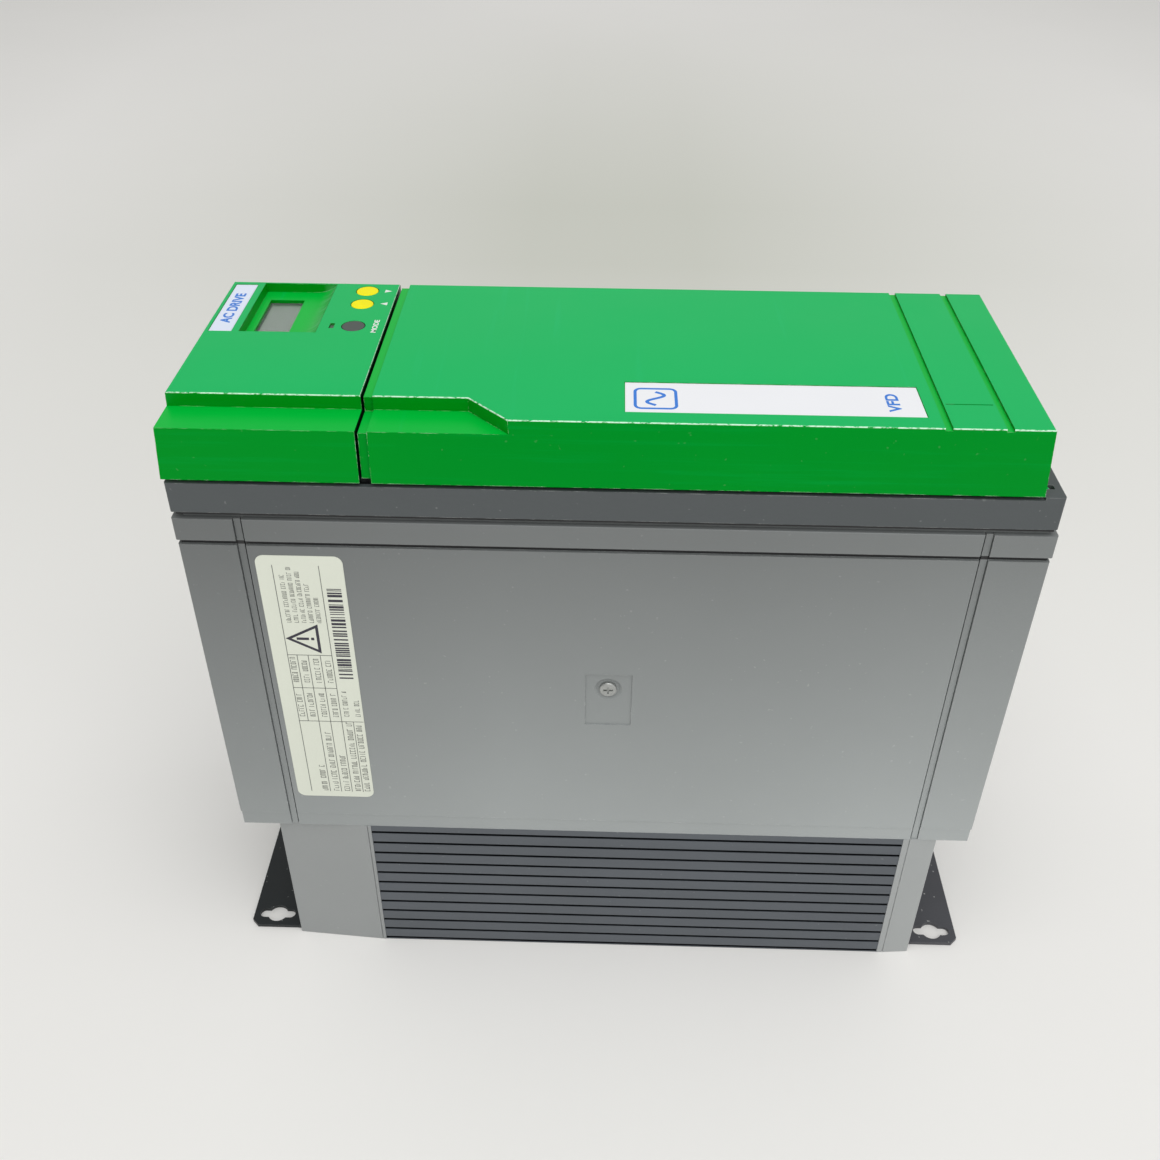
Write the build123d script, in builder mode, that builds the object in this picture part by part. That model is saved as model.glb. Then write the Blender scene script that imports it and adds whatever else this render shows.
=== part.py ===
"""Book-form variable frequency drive, standing on its back (wall) face.

Frame: X runs along the drive's installed height (-X is the installed top end), Y across its width, +Z out of
the wall. The origin is on the wall plane, at the centre of the mounting hole pattern. Millimetres.
"""

import os
from math import cos, radians, sin

from build123d import *

os.makedirs("parts", exist_ok=True)

# ---------------------------------------------------------------- driving dimensions
CASE_X0 = -187.0
CASE_X1 = 185.3
CASE_WIDTH = 134.4
CASE_BOTTOM = 92.6
CASE_TOP = 281.4
COVER_BOTTOM = 300.9
COVER_TOP = 331.0
LEDGE_TOP = 324.5
LEDGE_Y = -47.5
LUG_LENGTH = 396.0
LOWER_LENGTH = 338.8

HALF_W = CASE_WIDTH / 2
TOUCH = 0.05  # radial clearance between a screw and its hole

# wall plane brackets
BRACKET_T = 2.0
BRACKET_HALF_W = 61.3
BRACKET_CHAMFER = 3.6
HOLE_X = 184.8
HOLE_Y = 53.2
SLOT_LENGTH = 20.0
SLOT_R = 2.9
KEYHOLE_R = 5.5

# heatsink extrusion
SINK_X0 = -120.9
SINK_X1 = 152.2
SINK_HALF_W = 66.9
SINK_BASE_T = 8.0
SINK_SIDE_T = 3.5
FIN_PITCH = 9.0
FIN_COUNT = 13
FIN_T = 2.0
BOSS_Y = 45.0
BOSS_T = 9.0
RIB_COUNT = 12
RIB_PITCH = 7.85
RIB_Z0 = 1.4
RIB_GROOVE = 1.7
RIB_DEPTH = 1.3
BRACKET_SCREW_INSET = 7.8

# end caps beside the heatsink
CAP_WALL = 2.5
CAP_FLARE_Y = 67.2
CAP_END_Y = 63.4
CAP_TAPER = 3.6 / 47.6
CAP_STRIP_TOP = 1.5
CAP_STRIP_BOTTOM = 2.9
GROOVE_FINE = 0.5

# fan
FAN_SIZE = 80.0
FAN_DEPTH = 25.0
FAN_Z = 46.5
FAN_HOLE = 71.5 / 2
FAN_BORE_R = 37.5
FAN_HUB_R = 17.0
FAN_TIP_R = 36.2
BLADE_COUNT = 7
FAN_SHAFT_R = 1.5

# outer case mouldings
PANEL_T = 2.8
CHASSIS_X = 182.8
CHASSIS_Y = HALF_W - PANEL_T
CHASSIS_TOP = 283.4
CHASSIS_T = 2.0
CHANNEL_TOP_X = -159.65
CHANNEL_BOTTOM_X = 157.3
CHANNEL_HALF = 1.95
STRIP_SHIFT = 0.2
STRIP_WIDTH = 2.9
GROOVE_Z0 = 268.1
GROOVE_Z1 = 270.4
GROOVE_DEPTH = 1.3
BAND_STEP = 0.6
CORNER_R = 1.2
LIP_Z = 101.3
LIP_INSET = 0.35
LIP_END_INSET = 0.8
SCREW_X = -0.6
SCREW_Z = 190.0

# front frame
FRAME_X0 = -187.2
FRAME_X1 = 184.7
FRAME_Z0 = 284.8
FRAME_RIM = 299.1
SHELF_TOP = 300.5
SHELF_X0 = 176.1
SKIRT_Z0 = 282.9
SKIRT_INSET = 1.7
FRAME_IN_X = 183.2
FRAME_IN_Y = 64.7
FLANGE_TOP = 285.4
TRAY_TOP = 287.4
RIB_TOP = 303.0  # dust ribs that close the gap under the green parts
RIB_Y = (60.8, 61.6)

# green front parts
SEAM_KEYPAD_X = -105.3
SEAM_COVER_X = -104.4
GREEN_X0 = -186.2
GREEN_X1 = 173.8
GREEN_FLARE = 1.8
GREEN_HALF_W = 65.4
GREEN_WALL = 3.0
COLLAR = 4.0
COLLAR_INSET = 1.5

# terminal cover hinge
PIN_X = 179.0
PIN_Z = 298.0
PIN_R = 1.2
PIN_BORE_R = 1.27
EAR_Y = 58.7
EAR_T = 2.6

# keypad
BUTTON_X = -119.8
UP_Y = 41.9
DOWN_Y = 56.75
MODE_Y = 18.0
BUTTON_R = 5.2
BUTTON_HOLE_R = 5.5
BUTTON_TRAVEL = 0.8
KEYPAD_PCB_Z = 315.0
PCB_T = 1.6

# terminal bay
WELL_X0 = 88.0
WELL_FLOOR = 230.0
GLAND_Z = 246.0
GLAND_PITCH = 36.0
GLAND_R = 10.25

# boards
POWER_PCB_Z = 124.0
CONTROL_PCB_Z = 270.0


def block(x, y, z, mode=Mode.ADD):
    """A box from (low, high) pairs along X, Y and Z, for use inside a BuildPart."""
    with Locations(((x[0] + x[1]) / 2, (y[0] + y[1]) / 2, (z[0] + z[1]) / 2)):
        Box(x[1] - x[0], y[1] - y[0], z[1] - z[0], mode=mode)


def post(centre, radius, z, mode=Mode.ADD):
    """A cylinder along Z from (low, high) at a plan position, for use inside a BuildPart."""
    with Locations((centre[0], centre[1], (z[0] + z[1]) / 2)):
        Cylinder(radius, z[1] - z[0], mode=mode)


def rod_x(centre, radius, x, mode=Mode.ADD):
    """A cylinder along X from (low, high) at a (y, z) position, for use inside a BuildPart."""
    with Locations(Location(((x[0] + x[1]) / 2, centre[0], centre[1]), (0, 90, 0))):
        Cylinder(radius, x[1] - x[0], mode=mode)


def rod_y(centre, radius, y, mode=Mode.ADD):
    """A cylinder along Y from (low, high) at an (x, z) position, for use inside a BuildPart."""
    with Locations(Location((centre[0], (y[0] + y[1]) / 2, centre[1]), (90, 0, 0))):
        Cylinder(radius, y[1] - y[0], mode=mode)


def save(builder, label):
    """Labels a finished piece and writes it to its own STEP file."""
    builder.part.label = label
    export_step(builder.part, f"parts/{label}.step")


def pan_screw(head_r, head_h, shank_r, shank_l):
    """Cross-recess pan head screw, its head standing on Z = 0 and its shank running down -Z."""
    with BuildPart() as screw:
        post((0, 0), head_r, (0, head_h))
        fillet(screw.edges().group_by(Axis.Z)[-1], head_h * 0.45)
        post((0, 0), shank_r, (-shank_l, 0))
        recess = (head_h * 0.45, head_h + 1)
        block((-head_r * 0.55, head_r * 0.55), (-head_r * 0.11, head_r * 0.11), recess, Mode.SUBTRACT)
        block((-head_r * 0.11, head_r * 0.11), (-head_r * 0.55, head_r * 0.55), recess, Mode.SUBTRACT)
    return screw.part


def slotted_screw(head_r, head_h, shank_r, shank_l):
    """Slotted cheese head screw, its head standing on Z = 0 and its shank running down -Z."""
    with BuildPart() as screw:
        post((0, 0), head_r, (0, head_h))
        post((0, 0), shank_r, (-shank_l, 0))
        block((-head_r, head_r), (-head_r * 0.14, head_r * 0.14), (head_h * 0.5, head_h + 1), Mode.SUBTRACT)
    return screw.part


# ---------------------------------------------------------------- heatsink and wall brackets
SCREW_SIDES = (-1, 1)
BRACKET_SCREWS = [
    (x, side * BOSS_Y)
    for x in (SINK_X0 + BRACKET_SCREW_INSET, SINK_X1 - BRACKET_SCREW_INSET)
    for side in SCREW_SIDES
]
BRACKET_SCREW_R = 2.0
BRACKET_HEAD_R = 4.0
BRACKET_SCREW_DEPTH = 12.0

with BuildPart() as heatsink:
    fin_height = CASE_BOTTOM - SINK_BASE_T
    with BuildSketch(Plane.YZ.offset(SINK_X0)):
        with Locations((0, CASE_BOTTOM / 2)):
            Rectangle(2 * SINK_HALF_W, CASE_BOTTOM)
        with Locations((0, fin_height / 2)):
            Rectangle(2 * (SINK_HALF_W - SINK_SIDE_T), fin_height, mode=Mode.SUBTRACT)
        with Locations((0, (fin_height + BRACKET_T + 0.6) / 2)):
            with GridLocations(FIN_PITCH, 0, FIN_COUNT, 1):
                Rectangle(FIN_T, fin_height - BRACKET_T - 0.6)
        with Locations((-BOSS_Y, (fin_height + BRACKET_T) / 2), (BOSS_Y, (fin_height + BRACKET_T) / 2)):
            Rectangle(BOSS_T, fin_height - BRACKET_T)
        for side in SCREW_SIDES:
            for i in range(RIB_COUNT):
                with Locations((side * SINK_HALF_W, RIB_Z0 + i * RIB_PITCH)):
                    Rectangle(2 * RIB_DEPTH, RIB_GROOVE, mode=Mode.SUBTRACT)
    extrude(amount=SINK_X1 - SINK_X0)
    for centre in BRACKET_SCREWS:
        post(centre, BRACKET_SCREW_R + TOUCH, (BRACKET_T, BRACKET_SCREW_DEPTH + 1), Mode.SUBTRACT)
save(heatsink, "heatsink")


def wall_bracket(side, inner_x, screw_x):
    """Flat steel lug plate with two keyhole slots; side is -1 for the installed top, 1 for the bottom."""
    outer_x = side * LUG_LENGTH / 2
    low, high = sorted((outer_x, inner_x))
    with BuildPart() as bracket:
        with BuildSketch(Plane.XY):
            with Locations(((low + high) / 2, 0)):
                Rectangle(high - low, 2 * BRACKET_HALF_W)
            for y in (-HOLE_Y, HOLE_Y):
                with Locations((side * HOLE_X, y)):
                    SlotOverall(SLOT_LENGTH, 2 * SLOT_R, mode=Mode.SUBTRACT)
                    Circle(KEYHOLE_R, mode=Mode.SUBTRACT)
        extrude(amount=BRACKET_T)
        outer_corners = bracket.edges().filter_by(Axis.Z).group_by(Axis.X)[0 if side < 0 else -1]
        chamfer(outer_corners, BRACKET_CHAMFER)
        for y in (-BOSS_Y, BOSS_Y):
            with BuildSketch(Plane.XY) as mouth:
                with Locations((screw_x, y)):
                    Circle(BRACKET_HEAD_R + TOUCH)
            with BuildSketch(Plane.XY.offset(BRACKET_T)) as throat:
                with Locations((screw_x, y)):
                    Circle(BRACKET_SCREW_R + TOUCH)
            loft(mode=Mode.SUBTRACT)
    return bracket


top_mounting_bracket = wall_bracket(-1, SINK_X0 + 15.8, BRACKET_SCREWS[0][0])
save(top_mounting_bracket, "top_mounting_bracket")
bottom_mounting_bracket = wall_bracket(1, SINK_X1 - 15.8, BRACKET_SCREWS[2][0])
save(bottom_mounting_bracket, "bottom_mounting_bracket")

with BuildPart() as bracket_screws:
    for x, y in BRACKET_SCREWS:
        with Locations((x, y, BRACKET_T / 2)):
            Cone(BRACKET_HEAD_R, BRACKET_SCREW_R, BRACKET_T)
        post((x, y), BRACKET_SCREW_R, (BRACKET_T, BRACKET_SCREW_DEPTH))
        block((x - 2.2, x + 2.2), (y - 0.45, y + 0.45), (-1, 1.1), Mode.SUBTRACT)
        block((x - 0.45, x + 0.45), (y - 2.2, y + 2.2), (-1, 1.1), Mode.SUBTRACT)
save(bracket_screws, "bracket_screws")


# ---------------------------------------------------------------- end caps of the cooling duct
def duct_cap(side, sink_x):
    """Tapered plastic cap between the heatsink's end and the case's end, closed at its outer end."""
    end_x = side * LOWER_LENGTH / 2
    length = abs(end_x - sink_x)
    end_y = CAP_FLARE_Y - CAP_TAPER * length
    with BuildPart() as cap:
        with BuildSketch(Plane.XY):
            with BuildLine():
                Polyline(
                    (sink_x, -CAP_FLARE_Y), (end_x, -end_y), (end_x, end_y), (sink_x, CAP_FLARE_Y), close=True
                )
            make_face()
        extrude(amount=CASE_BOTTOM)
        outer_edges = cap.edges().filter_by(Axis.Z).group_by(Axis.X)[0 if side < 0 else -1]
        fillet(outer_edges, 0.8)
        with BuildSketch(Plane.XY.offset(BRACKET_T + CAP_WALL)):
            inner_x = end_x - side * CAP_WALL
            with BuildLine():
                Polyline(
                    (sink_x, CAP_WALL - CAP_FLARE_Y),
                    (inner_x, CAP_WALL - end_y),
                    (inner_x, end_y - CAP_WALL),
                    (sink_x, CAP_FLARE_Y - CAP_WALL),
                    close=True,
                )
            make_face()
        extrude(amount=CASE_BOTTOM - BRACKET_T - 2 * CAP_WALL, mode=Mode.SUBTRACT)
        strip = CAP_STRIP_TOP if side < 0 else CAP_STRIP_BOTTOM
        slot_x = sorted((sink_x + side * strip, sink_x + side * (strip + GROOVE_FINE)))
        for y in ((-CAP_FLARE_Y - 1, 0.7 - CAP_FLARE_Y), (CAP_FLARE_Y - 0.7, CAP_FLARE_Y + 1)):
            block(slot_x, y, (-1, CASE_BOTTOM), Mode.SUBTRACT)
        block(
            sorted((sink_x, end_x + side)),
            (-BRACKET_HALF_W - 0.3, BRACKET_HALF_W + 0.3),
            (-1, BRACKET_T),
            Mode.SUBTRACT,
        )
    return cap


CAP_END_X = LOWER_LENGTH / 2
FAN_CORNERS = [(y, FAN_Z + z) for y in (-FAN_HOLE, FAN_HOLE) for z in (-FAN_HOLE, FAN_HOLE)]
FAN_X0 = -CAP_END_X + CAP_WALL
FAN_X1 = FAN_X0 + FAN_DEPTH
FAN_SCREW_R = 2.0

with BuildPart() as fan_housing:
    add(duct_cap(-1, SINK_X0).part)
    rod_x((0, FAN_Z), FAN_BORE_R, (-CAP_END_X - 1, FAN_X0 + 1), Mode.SUBTRACT)
    for corner in FAN_CORNERS:
        rod_x(corner, FAN_SCREW_R + TOUCH, (-CAP_END_X - 1, FAN_X0 + 1), Mode.SUBTRACT)
save(fan_housing, "fan_housing")

INLET_SLOT = (34.0, 4.6)
with BuildPart() as air_inlet_cap:
    add(duct_cap(1, SINK_X1).part)
    with BuildSketch(Plane.YZ.offset(CAP_END_X - CAP_WALL - 1)):
        with Locations((0, CASE_BOTTOM / 2 + 0.8)):
            with GridLocations(INLET_SLOT[0] + 5, INLET_SLOT[1] + 4.4, 3, 9):
                SlotOverall(*INLET_SLOT)
    extrude(amount=CAP_WALL + 2, mode=Mode.SUBTRACT)
save(air_inlet_cap, "air_inlet_cap")

# ---------------------------------------------------------------- cooling fan
STRUT_T = 3.0
with BuildPart() as fan_frame:
    with BuildSketch(Plane.YZ.offset(FAN_X0)):
        with Locations((0, FAN_Z)):
            RectangleRounded(FAN_SIZE, FAN_SIZE, 4)
            Circle(FAN_BORE_R, mode=Mode.SUBTRACT)
        for corner in FAN_CORNERS:
            with Locations(corner):
                Circle(FAN_SCREW_R + TOUCH, mode=Mode.SUBTRACT)
    extrude(amount=FAN_DEPTH)
    with BuildSketch(Plane.YZ.offset(FAN_X0 + 4)) as waist:
        with Locations((0, FAN_Z)):
            RectangleRounded(FAN_SIZE + 2, FAN_SIZE + 2, 4)
            Circle(FAN_BORE_R + 1.6, mode=Mode.SUBTRACT)
    extrude(amount=FAN_DEPTH - 8, mode=Mode.SUBTRACT)
    rod_x((0, FAN_Z), FAN_HUB_R, (FAN_X1 - STRUT_T, FAN_X1))
    with BuildSketch(Plane.YZ.offset(FAN_X1 - STRUT_T)):
        with Locations((0, FAN_Z)):
            with PolarLocations((FAN_HUB_R + FAN_BORE_R) / 2 + 0.2, 4, start_angle=30):
                Rectangle(FAN_BORE_R - FAN_HUB_R + 2, 3.4)
    extrude(amount=STRUT_T)
    rod_x((0, FAN_Z), FAN_SHAFT_R, (FAN_X0 + 6, FAN_X1 - STRUT_T))
save(fan_frame, "fan_frame")

ROTOR_X0 = FAN_X0 + 1.6
ROTOR_X1 = FAN_X1 - STRUT_T - 1.2
FAN_AXIS = Axis((0, 0, FAN_Z), (1, 0, 0))
BLADE_X = (ROTOR_X0 + ROTOR_X1) / 2

with BuildPart() as fan_blade:
    with BuildSketch(Plane.XY.offset(FAN_Z + FAN_HUB_R - 1.5)):
        with Locations((BLADE_X, 0)):
            Rectangle(19, 1.9, rotation=42)
    with BuildSketch(Plane.XY.offset(FAN_Z + FAN_TIP_R + 2)):
        with Locations((BLADE_X, 0)):
            Rectangle(20, 1.1, rotation=62)
    loft()
    rod_x((0, FAN_Z), FAN_TIP_R, (FAN_X0, FAN_X1), Mode.INTERSECT)

with BuildPart() as fan_impeller:
    rod_x((0, FAN_Z), FAN_HUB_R, (ROTOR_X0, ROTOR_X1))
    fillet(fan_impeller.edges().group_by(Axis.X)[0], 2.0)
    for i in range(BLADE_COUNT):
        add(fan_blade.part.rotate(FAN_AXIS, i * 360 / BLADE_COUNT))
    rod_x((0, FAN_Z), FAN_HUB_R - 2, (ROTOR_X0 + 12, ROTOR_X1 + 1), Mode.SUBTRACT)
    rod_x((0, FAN_Z), FAN_SHAFT_R + TOUCH, (FAN_X0 + 5, ROTOR_X1 + 1), Mode.SUBTRACT)
save(fan_impeller, "fan_impeller")

GUARD_WIRE_R = 0.9
GUARD_RINGS = (10.0, 18.0, 26.0, 34.0)
GUARD_X = -CAP_END_X - 2.6
with BuildPart() as fan_guard:
    for radius in GUARD_RINGS:
        with Locations(Location((GUARD_X, 0, FAN_Z), (0, 90, 0))):
            Torus(radius, GUARD_WIRE_R)
    for turn in (45, 135):
        reach = FAN_HOLE / sin(radians(45))
        with BuildSketch(Plane((GUARD_X + GUARD_WIRE_R * 1.4, 0, FAN_Z), x_dir=(1, 0, 0),
                               z_dir=(0, cos(radians(turn)), sin(radians(turn)))).offset(-reach + 4.3)):
            Circle(GUARD_WIRE_R)
        extrude(amount=2 * reach - 8.6)
    for corner in FAN_CORNERS:
        rod_x(corner, 4.6, (-CAP_END_X - 1.9, -CAP_END_X))
        rod_x(corner, FAN_SCREW_R + TOUCH, (-CAP_END_X - 3, -CAP_END_X + 1), Mode.SUBTRACT)
save(fan_guard, "fan_guard")

FACING_LEFT = (0, -90, 0)
with BuildPart() as fan_screws:
    for y, z in FAN_CORNERS:
        add(pan_screw(3.8, 2.4, FAN_SCREW_R, 31).moved(Location((-CAP_END_X - 1.9, y, z), FACING_LEFT)))
save(fan_screws, "fan_screws")

# ---------------------------------------------------------------- inner chassis
IGBT = ((-62.0, 46.0), (4.0, 54.0), (CASE_BOTTOM, 110.0))
RECTIFIER = ((-52.0, 40.0), (-48.0, -10.0), (CASE_BOTTOM, 116.0))
GLAND_YS = (-GLAND_PITCH, 0.0, GLAND_PITCH)
CORNER_POSTS = [(x, y) for x in (-177.6, 177.6) for y in (-59.4, 59.4)]
POST_HALF = 3.4
FRAME_SCREW_R = 1.7

with BuildPart() as chassis:
    block((-CHASSIS_X, CHASSIS_X), (-CHASSIS_Y, CHASSIS_Y), (CASE_BOTTOM, CHASSIS_TOP))
    inner_x, inner_y = CHASSIS_X - CHASSIS_T, CHASSIS_Y - CHASSIS_T
    block((-inner_x, inner_x), (-inner_y, inner_y), (CASE_BOTTOM + 2.5, CHASSIS_TOP + 1), Mode.SUBTRACT)
    for x in (CHANNEL_TOP_X - STRIP_SHIFT, CHANNEL_BOTTOM_X + STRIP_SHIFT):
        for side in (-1, 1):
            strip_y = sorted((side * (CHASSIS_Y - 0.5), side * (HALF_W - 1.1)))
            block((x - STRIP_WIDTH / 2, x + STRIP_WIDTH / 2), strip_y, (CASE_BOTTOM, CASE_TOP))
    for module in (IGBT, RECTIFIER):
        (x0, x1), (y0, y1), _ = module
        block((x0 - 1, x1 + 1), (y0 - 1, y1 + 1), (CASE_BOTTOM - 1, CASE_BOTTOM + 4), Mode.SUBTRACT)
    for side in (-1, 1):
        wall = sorted((side * (inner_x - 1), side * (CHASSIS_X + 1)))
        block(wall, (-52, 52), (106, 214), Mode.SUBTRACT)
        boss_y = sorted((side * (inner_y - 9), side * inner_y))
        rod_y((SCREW_X, SCREW_Z), 5.5, boss_y)
        drill_y = sorted((side * (inner_y - 10), side * (CHASSIS_Y + 1)))
        rod_y((SCREW_X, SCREW_Z), 2.0 + TOUCH, drill_y, Mode.SUBTRACT)
    block((inner_x - 1, CHASSIS_X + 1), (-50, 50), (233, 259), Mode.SUBTRACT)
    for x, y in CORNER_POSTS:
        block((x - POST_HALF, x + POST_HALF), (y - POST_HALF, y + POST_HALF), (262, CHASSIS_TOP))
        post((x, y), FRAME_SCREW_R + TOUCH, (264, CHASSIS_TOP + 1), Mode.SUBTRACT)
save(chassis, "chassis")

# ---------------------------------------------------------------- outer side panels
PANEL_X = (CHANNEL_TOP_X + CHANNEL_HALF, CHANNEL_BOTTOM_X - CHANNEL_HALF)
RECESS_X = (SCREW_X - 10.7, SCREW_X + 11.1)
RECESS_Z = (167.9, 199.4)
RECESS_DEPTH = 0.6


def band_cuts(x, y_face, side):
    """The groove under the top band and the stepped-in bottom lip, cut into a panel face at side * y_face."""
    groove_y = sorted((side * (y_face - GROOVE_DEPTH), side * (y_face + 1)))
    block(x, groove_y, (GROOVE_Z0, GROOVE_Z1), Mode.SUBTRACT)
    lip_y = sorted((side * (y_face - LIP_INSET), side * (y_face + 1)))
    block(x, lip_y, (CASE_BOTTOM - 1, LIP_Z), Mode.SUBTRACT)


with BuildPart() as rear_side_panel:
    block(PANEL_X, (CHASSIS_Y, HALF_W), (CASE_BOTTOM, CASE_TOP))
    fillet(rear_side_panel.faces().sort_by(Axis.Y)[-1].edges(), 0.35)
    band_cuts((PANEL_X[0] - 1, PANEL_X[1] + 1), HALF_W, 1)
    block(RECESS_X, (HALF_W - RECESS_DEPTH, HALF_W + 1), RECESS_Z, Mode.SUBTRACT)
    with Locations(Location((SCREW_X, HALF_W - RECESS_DEPTH - 0.5, SCREW_Z), (-90, 0, 0))):
        Cone(5.0, 6.6, 1.0, mode=Mode.SUBTRACT)
    rod_y((SCREW_X, SCREW_Z), 2.0 + TOUCH, (CHASSIS_Y - 1, HALF_W), Mode.SUBTRACT)
save(rear_side_panel, "rear_side_panel")

with BuildPart() as front_side_panel:
    add(rear_side_panel.part.mirror(Plane.XZ))
save(front_side_panel, "front_side_panel")

PANEL_SCREW_SEAT = HALF_W - RECESS_DEPTH - 1.0
with BuildPart() as side_panel_screws:
    screw = pan_screw(4.1, 1.75, 2.0, 9.5)
    add(screw.moved(Location((SCREW_X, -PANEL_SCREW_SEAT, SCREW_Z), (90, 0, 0))))
    add(screw.moved(Location((SCREW_X, PANEL_SCREW_SEAT, SCREW_Z), (-90, 0, 0))))
save(side_panel_screws, "side_panel_screws")

RATING_X = (-155.0, -116.8)
RATING_Z = (114.6, 263.4)
LABEL_T = 0.3
with BuildPart() as rating_plate:
    with BuildSketch(Plane.XZ.offset(HALF_W)):
        with Locations((sum(RATING_X) / 2, sum(RATING_Z) / 2)):
            RectangleRounded(RATING_X[1] - RATING_X[0], RATING_Z[1] - RATING_Z[0], 4)
    extrude(amount=LABEL_T)
save(rating_plate, "rating_plate")


# ---------------------------------------------------------------- end covers
def end_cover(side):
    """U-shaped moulding that wraps one end of the chassis; side is -1 for the installed top."""
    end_x = CASE_X0 if side < 0 else CASE_X1
    channel_x = CHANNEL_TOP_X if side < 0 else CHANNEL_BOTTOM_X
    flange_x = sorted((channel_x + side * CHANNEL_HALF, end_x))
    inner_x = sorted((channel_x + side * (CHANNEL_HALF - 1), side * CHASSIS_X))
    with BuildPart() as cover:
        block(flange_x, (-HALF_W, HALF_W), (CASE_BOTTOM, GROOVE_Z1))
        fillet(cover.edges().filter_by(Axis.Z).group_by(Axis.X)[0 if side < 0 else -1], CORNER_R)
        band_x = sorted((channel_x + side * CHANNEL_HALF, end_x + side * BAND_STEP))
        block(band_x, (-HALF_W, HALF_W), (GROOVE_Z1, CASE_TOP))
        fillet(cover.edges().filter_by(Axis.Z).group_by(Axis.X)[0 if side < 0 else -1], CORNER_R)
        for y_side in (-1, 1):
            band_cuts((flange_x[0] - 1, flange_x[1] + 1), HALF_W, y_side)
        groove_x = sorted((end_x - side * GROOVE_DEPTH, end_x + side))
        block(groove_x, (-HALF_W - 1, HALF_W + 1), (GROOVE_Z0, GROOVE_Z1), Mode.SUBTRACT)
        lip_x = sorted((end_x - side * LIP_END_INSET, end_x + side))
        block(lip_x, (-HALF_W - 1, HALF_W + 1), (CASE_BOTTOM - 1, LIP_Z), Mode.SUBTRACT)
        block(inner_x, (-CHASSIS_Y, CHASSIS_Y), (CASE_BOTTOM - 1, CASE_TOP + 1), Mode.SUBTRACT)
    return cover


VENT_SLOT = (44.0, 4.2)
VENT_PITCH = 8.4


def vent_slots(side, rows, centre_z):
    """Two columns of louvre slots through an end cover's end wall, for use on that cover."""
    with BuildPart() as slots:
        with BuildSketch(Plane.YZ.offset(side * (CHASSIS_X - 1))):
            with Locations((0, centre_z)):
                with GridLocations(VENT_SLOT[0] + 5, VENT_PITCH, 2, rows):
                    SlotOverall(*VENT_SLOT)
        extrude(amount=side * 7)
    return slots.part


with BuildPart() as top_end_cover:
    add(end_cover(-1).part)
    add(vent_slots(-1, 12, 160), mode=Mode.SUBTRACT)
save(top_end_cover, "top_end_cover")

GLAND_WINDOW_Z = (226.0, 265.0)
GLAND_T = 2.0
with BuildPart() as bottom_end_cover:
    add(end_cover(1).part)
    add(vent_slots(1, 12, 160), mode=Mode.SUBTRACT)
    block((CHASSIS_X - 1, CASE_X1 + 1), (-58, 58), GLAND_WINDOW_Z, Mode.SUBTRACT)
save(bottom_end_cover, "bottom_end_cover")

GLAND_SCREWS = [(y, z) for y in (-54.0, 54.0) for z in (230.0, 261.0)]
with BuildPart() as gland_plate:
    block((CHASSIS_X, CHASSIS_X + GLAND_T), (-57.6, 57.6), (GLAND_WINDOW_Z[0] + 0.4, GLAND_WINDOW_Z[1] - 0.4))
    for y in GLAND_YS:
        rod_x((y, GLAND_Z), GLAND_R, (CHASSIS_X - 1, CHASSIS_X + GLAND_T + 1), Mode.SUBTRACT)
    for corner in GLAND_SCREWS:
        rod_x(corner, 1.5 + TOUCH, (CHASSIS_X - 1, CHASSIS_X + GLAND_T + 1), Mode.SUBTRACT)
save(gland_plate, "gland_plate")

with BuildPart() as gland_plate_screws:
    for y, z in GLAND_SCREWS:
        add(pan_screw(2.8, 1.2, 1.5, GLAND_T).moved(Location((CHASSIS_X + GLAND_T, y, z), (0, 90, 0))))
save(gland_plate_screws, "gland_plate_screws")

# ---------------------------------------------------------------- front frame
EAR_SLOT_X = (167.6, 181.6)
EAR_SLOT_HALF = EAR_T / 2 + 0.3
PIN_HALF = EAR_T / 2 + 1.6
SHELF_BLOCK_X = 172.0
SHELF_BLOCK_Z = 293.5

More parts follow.
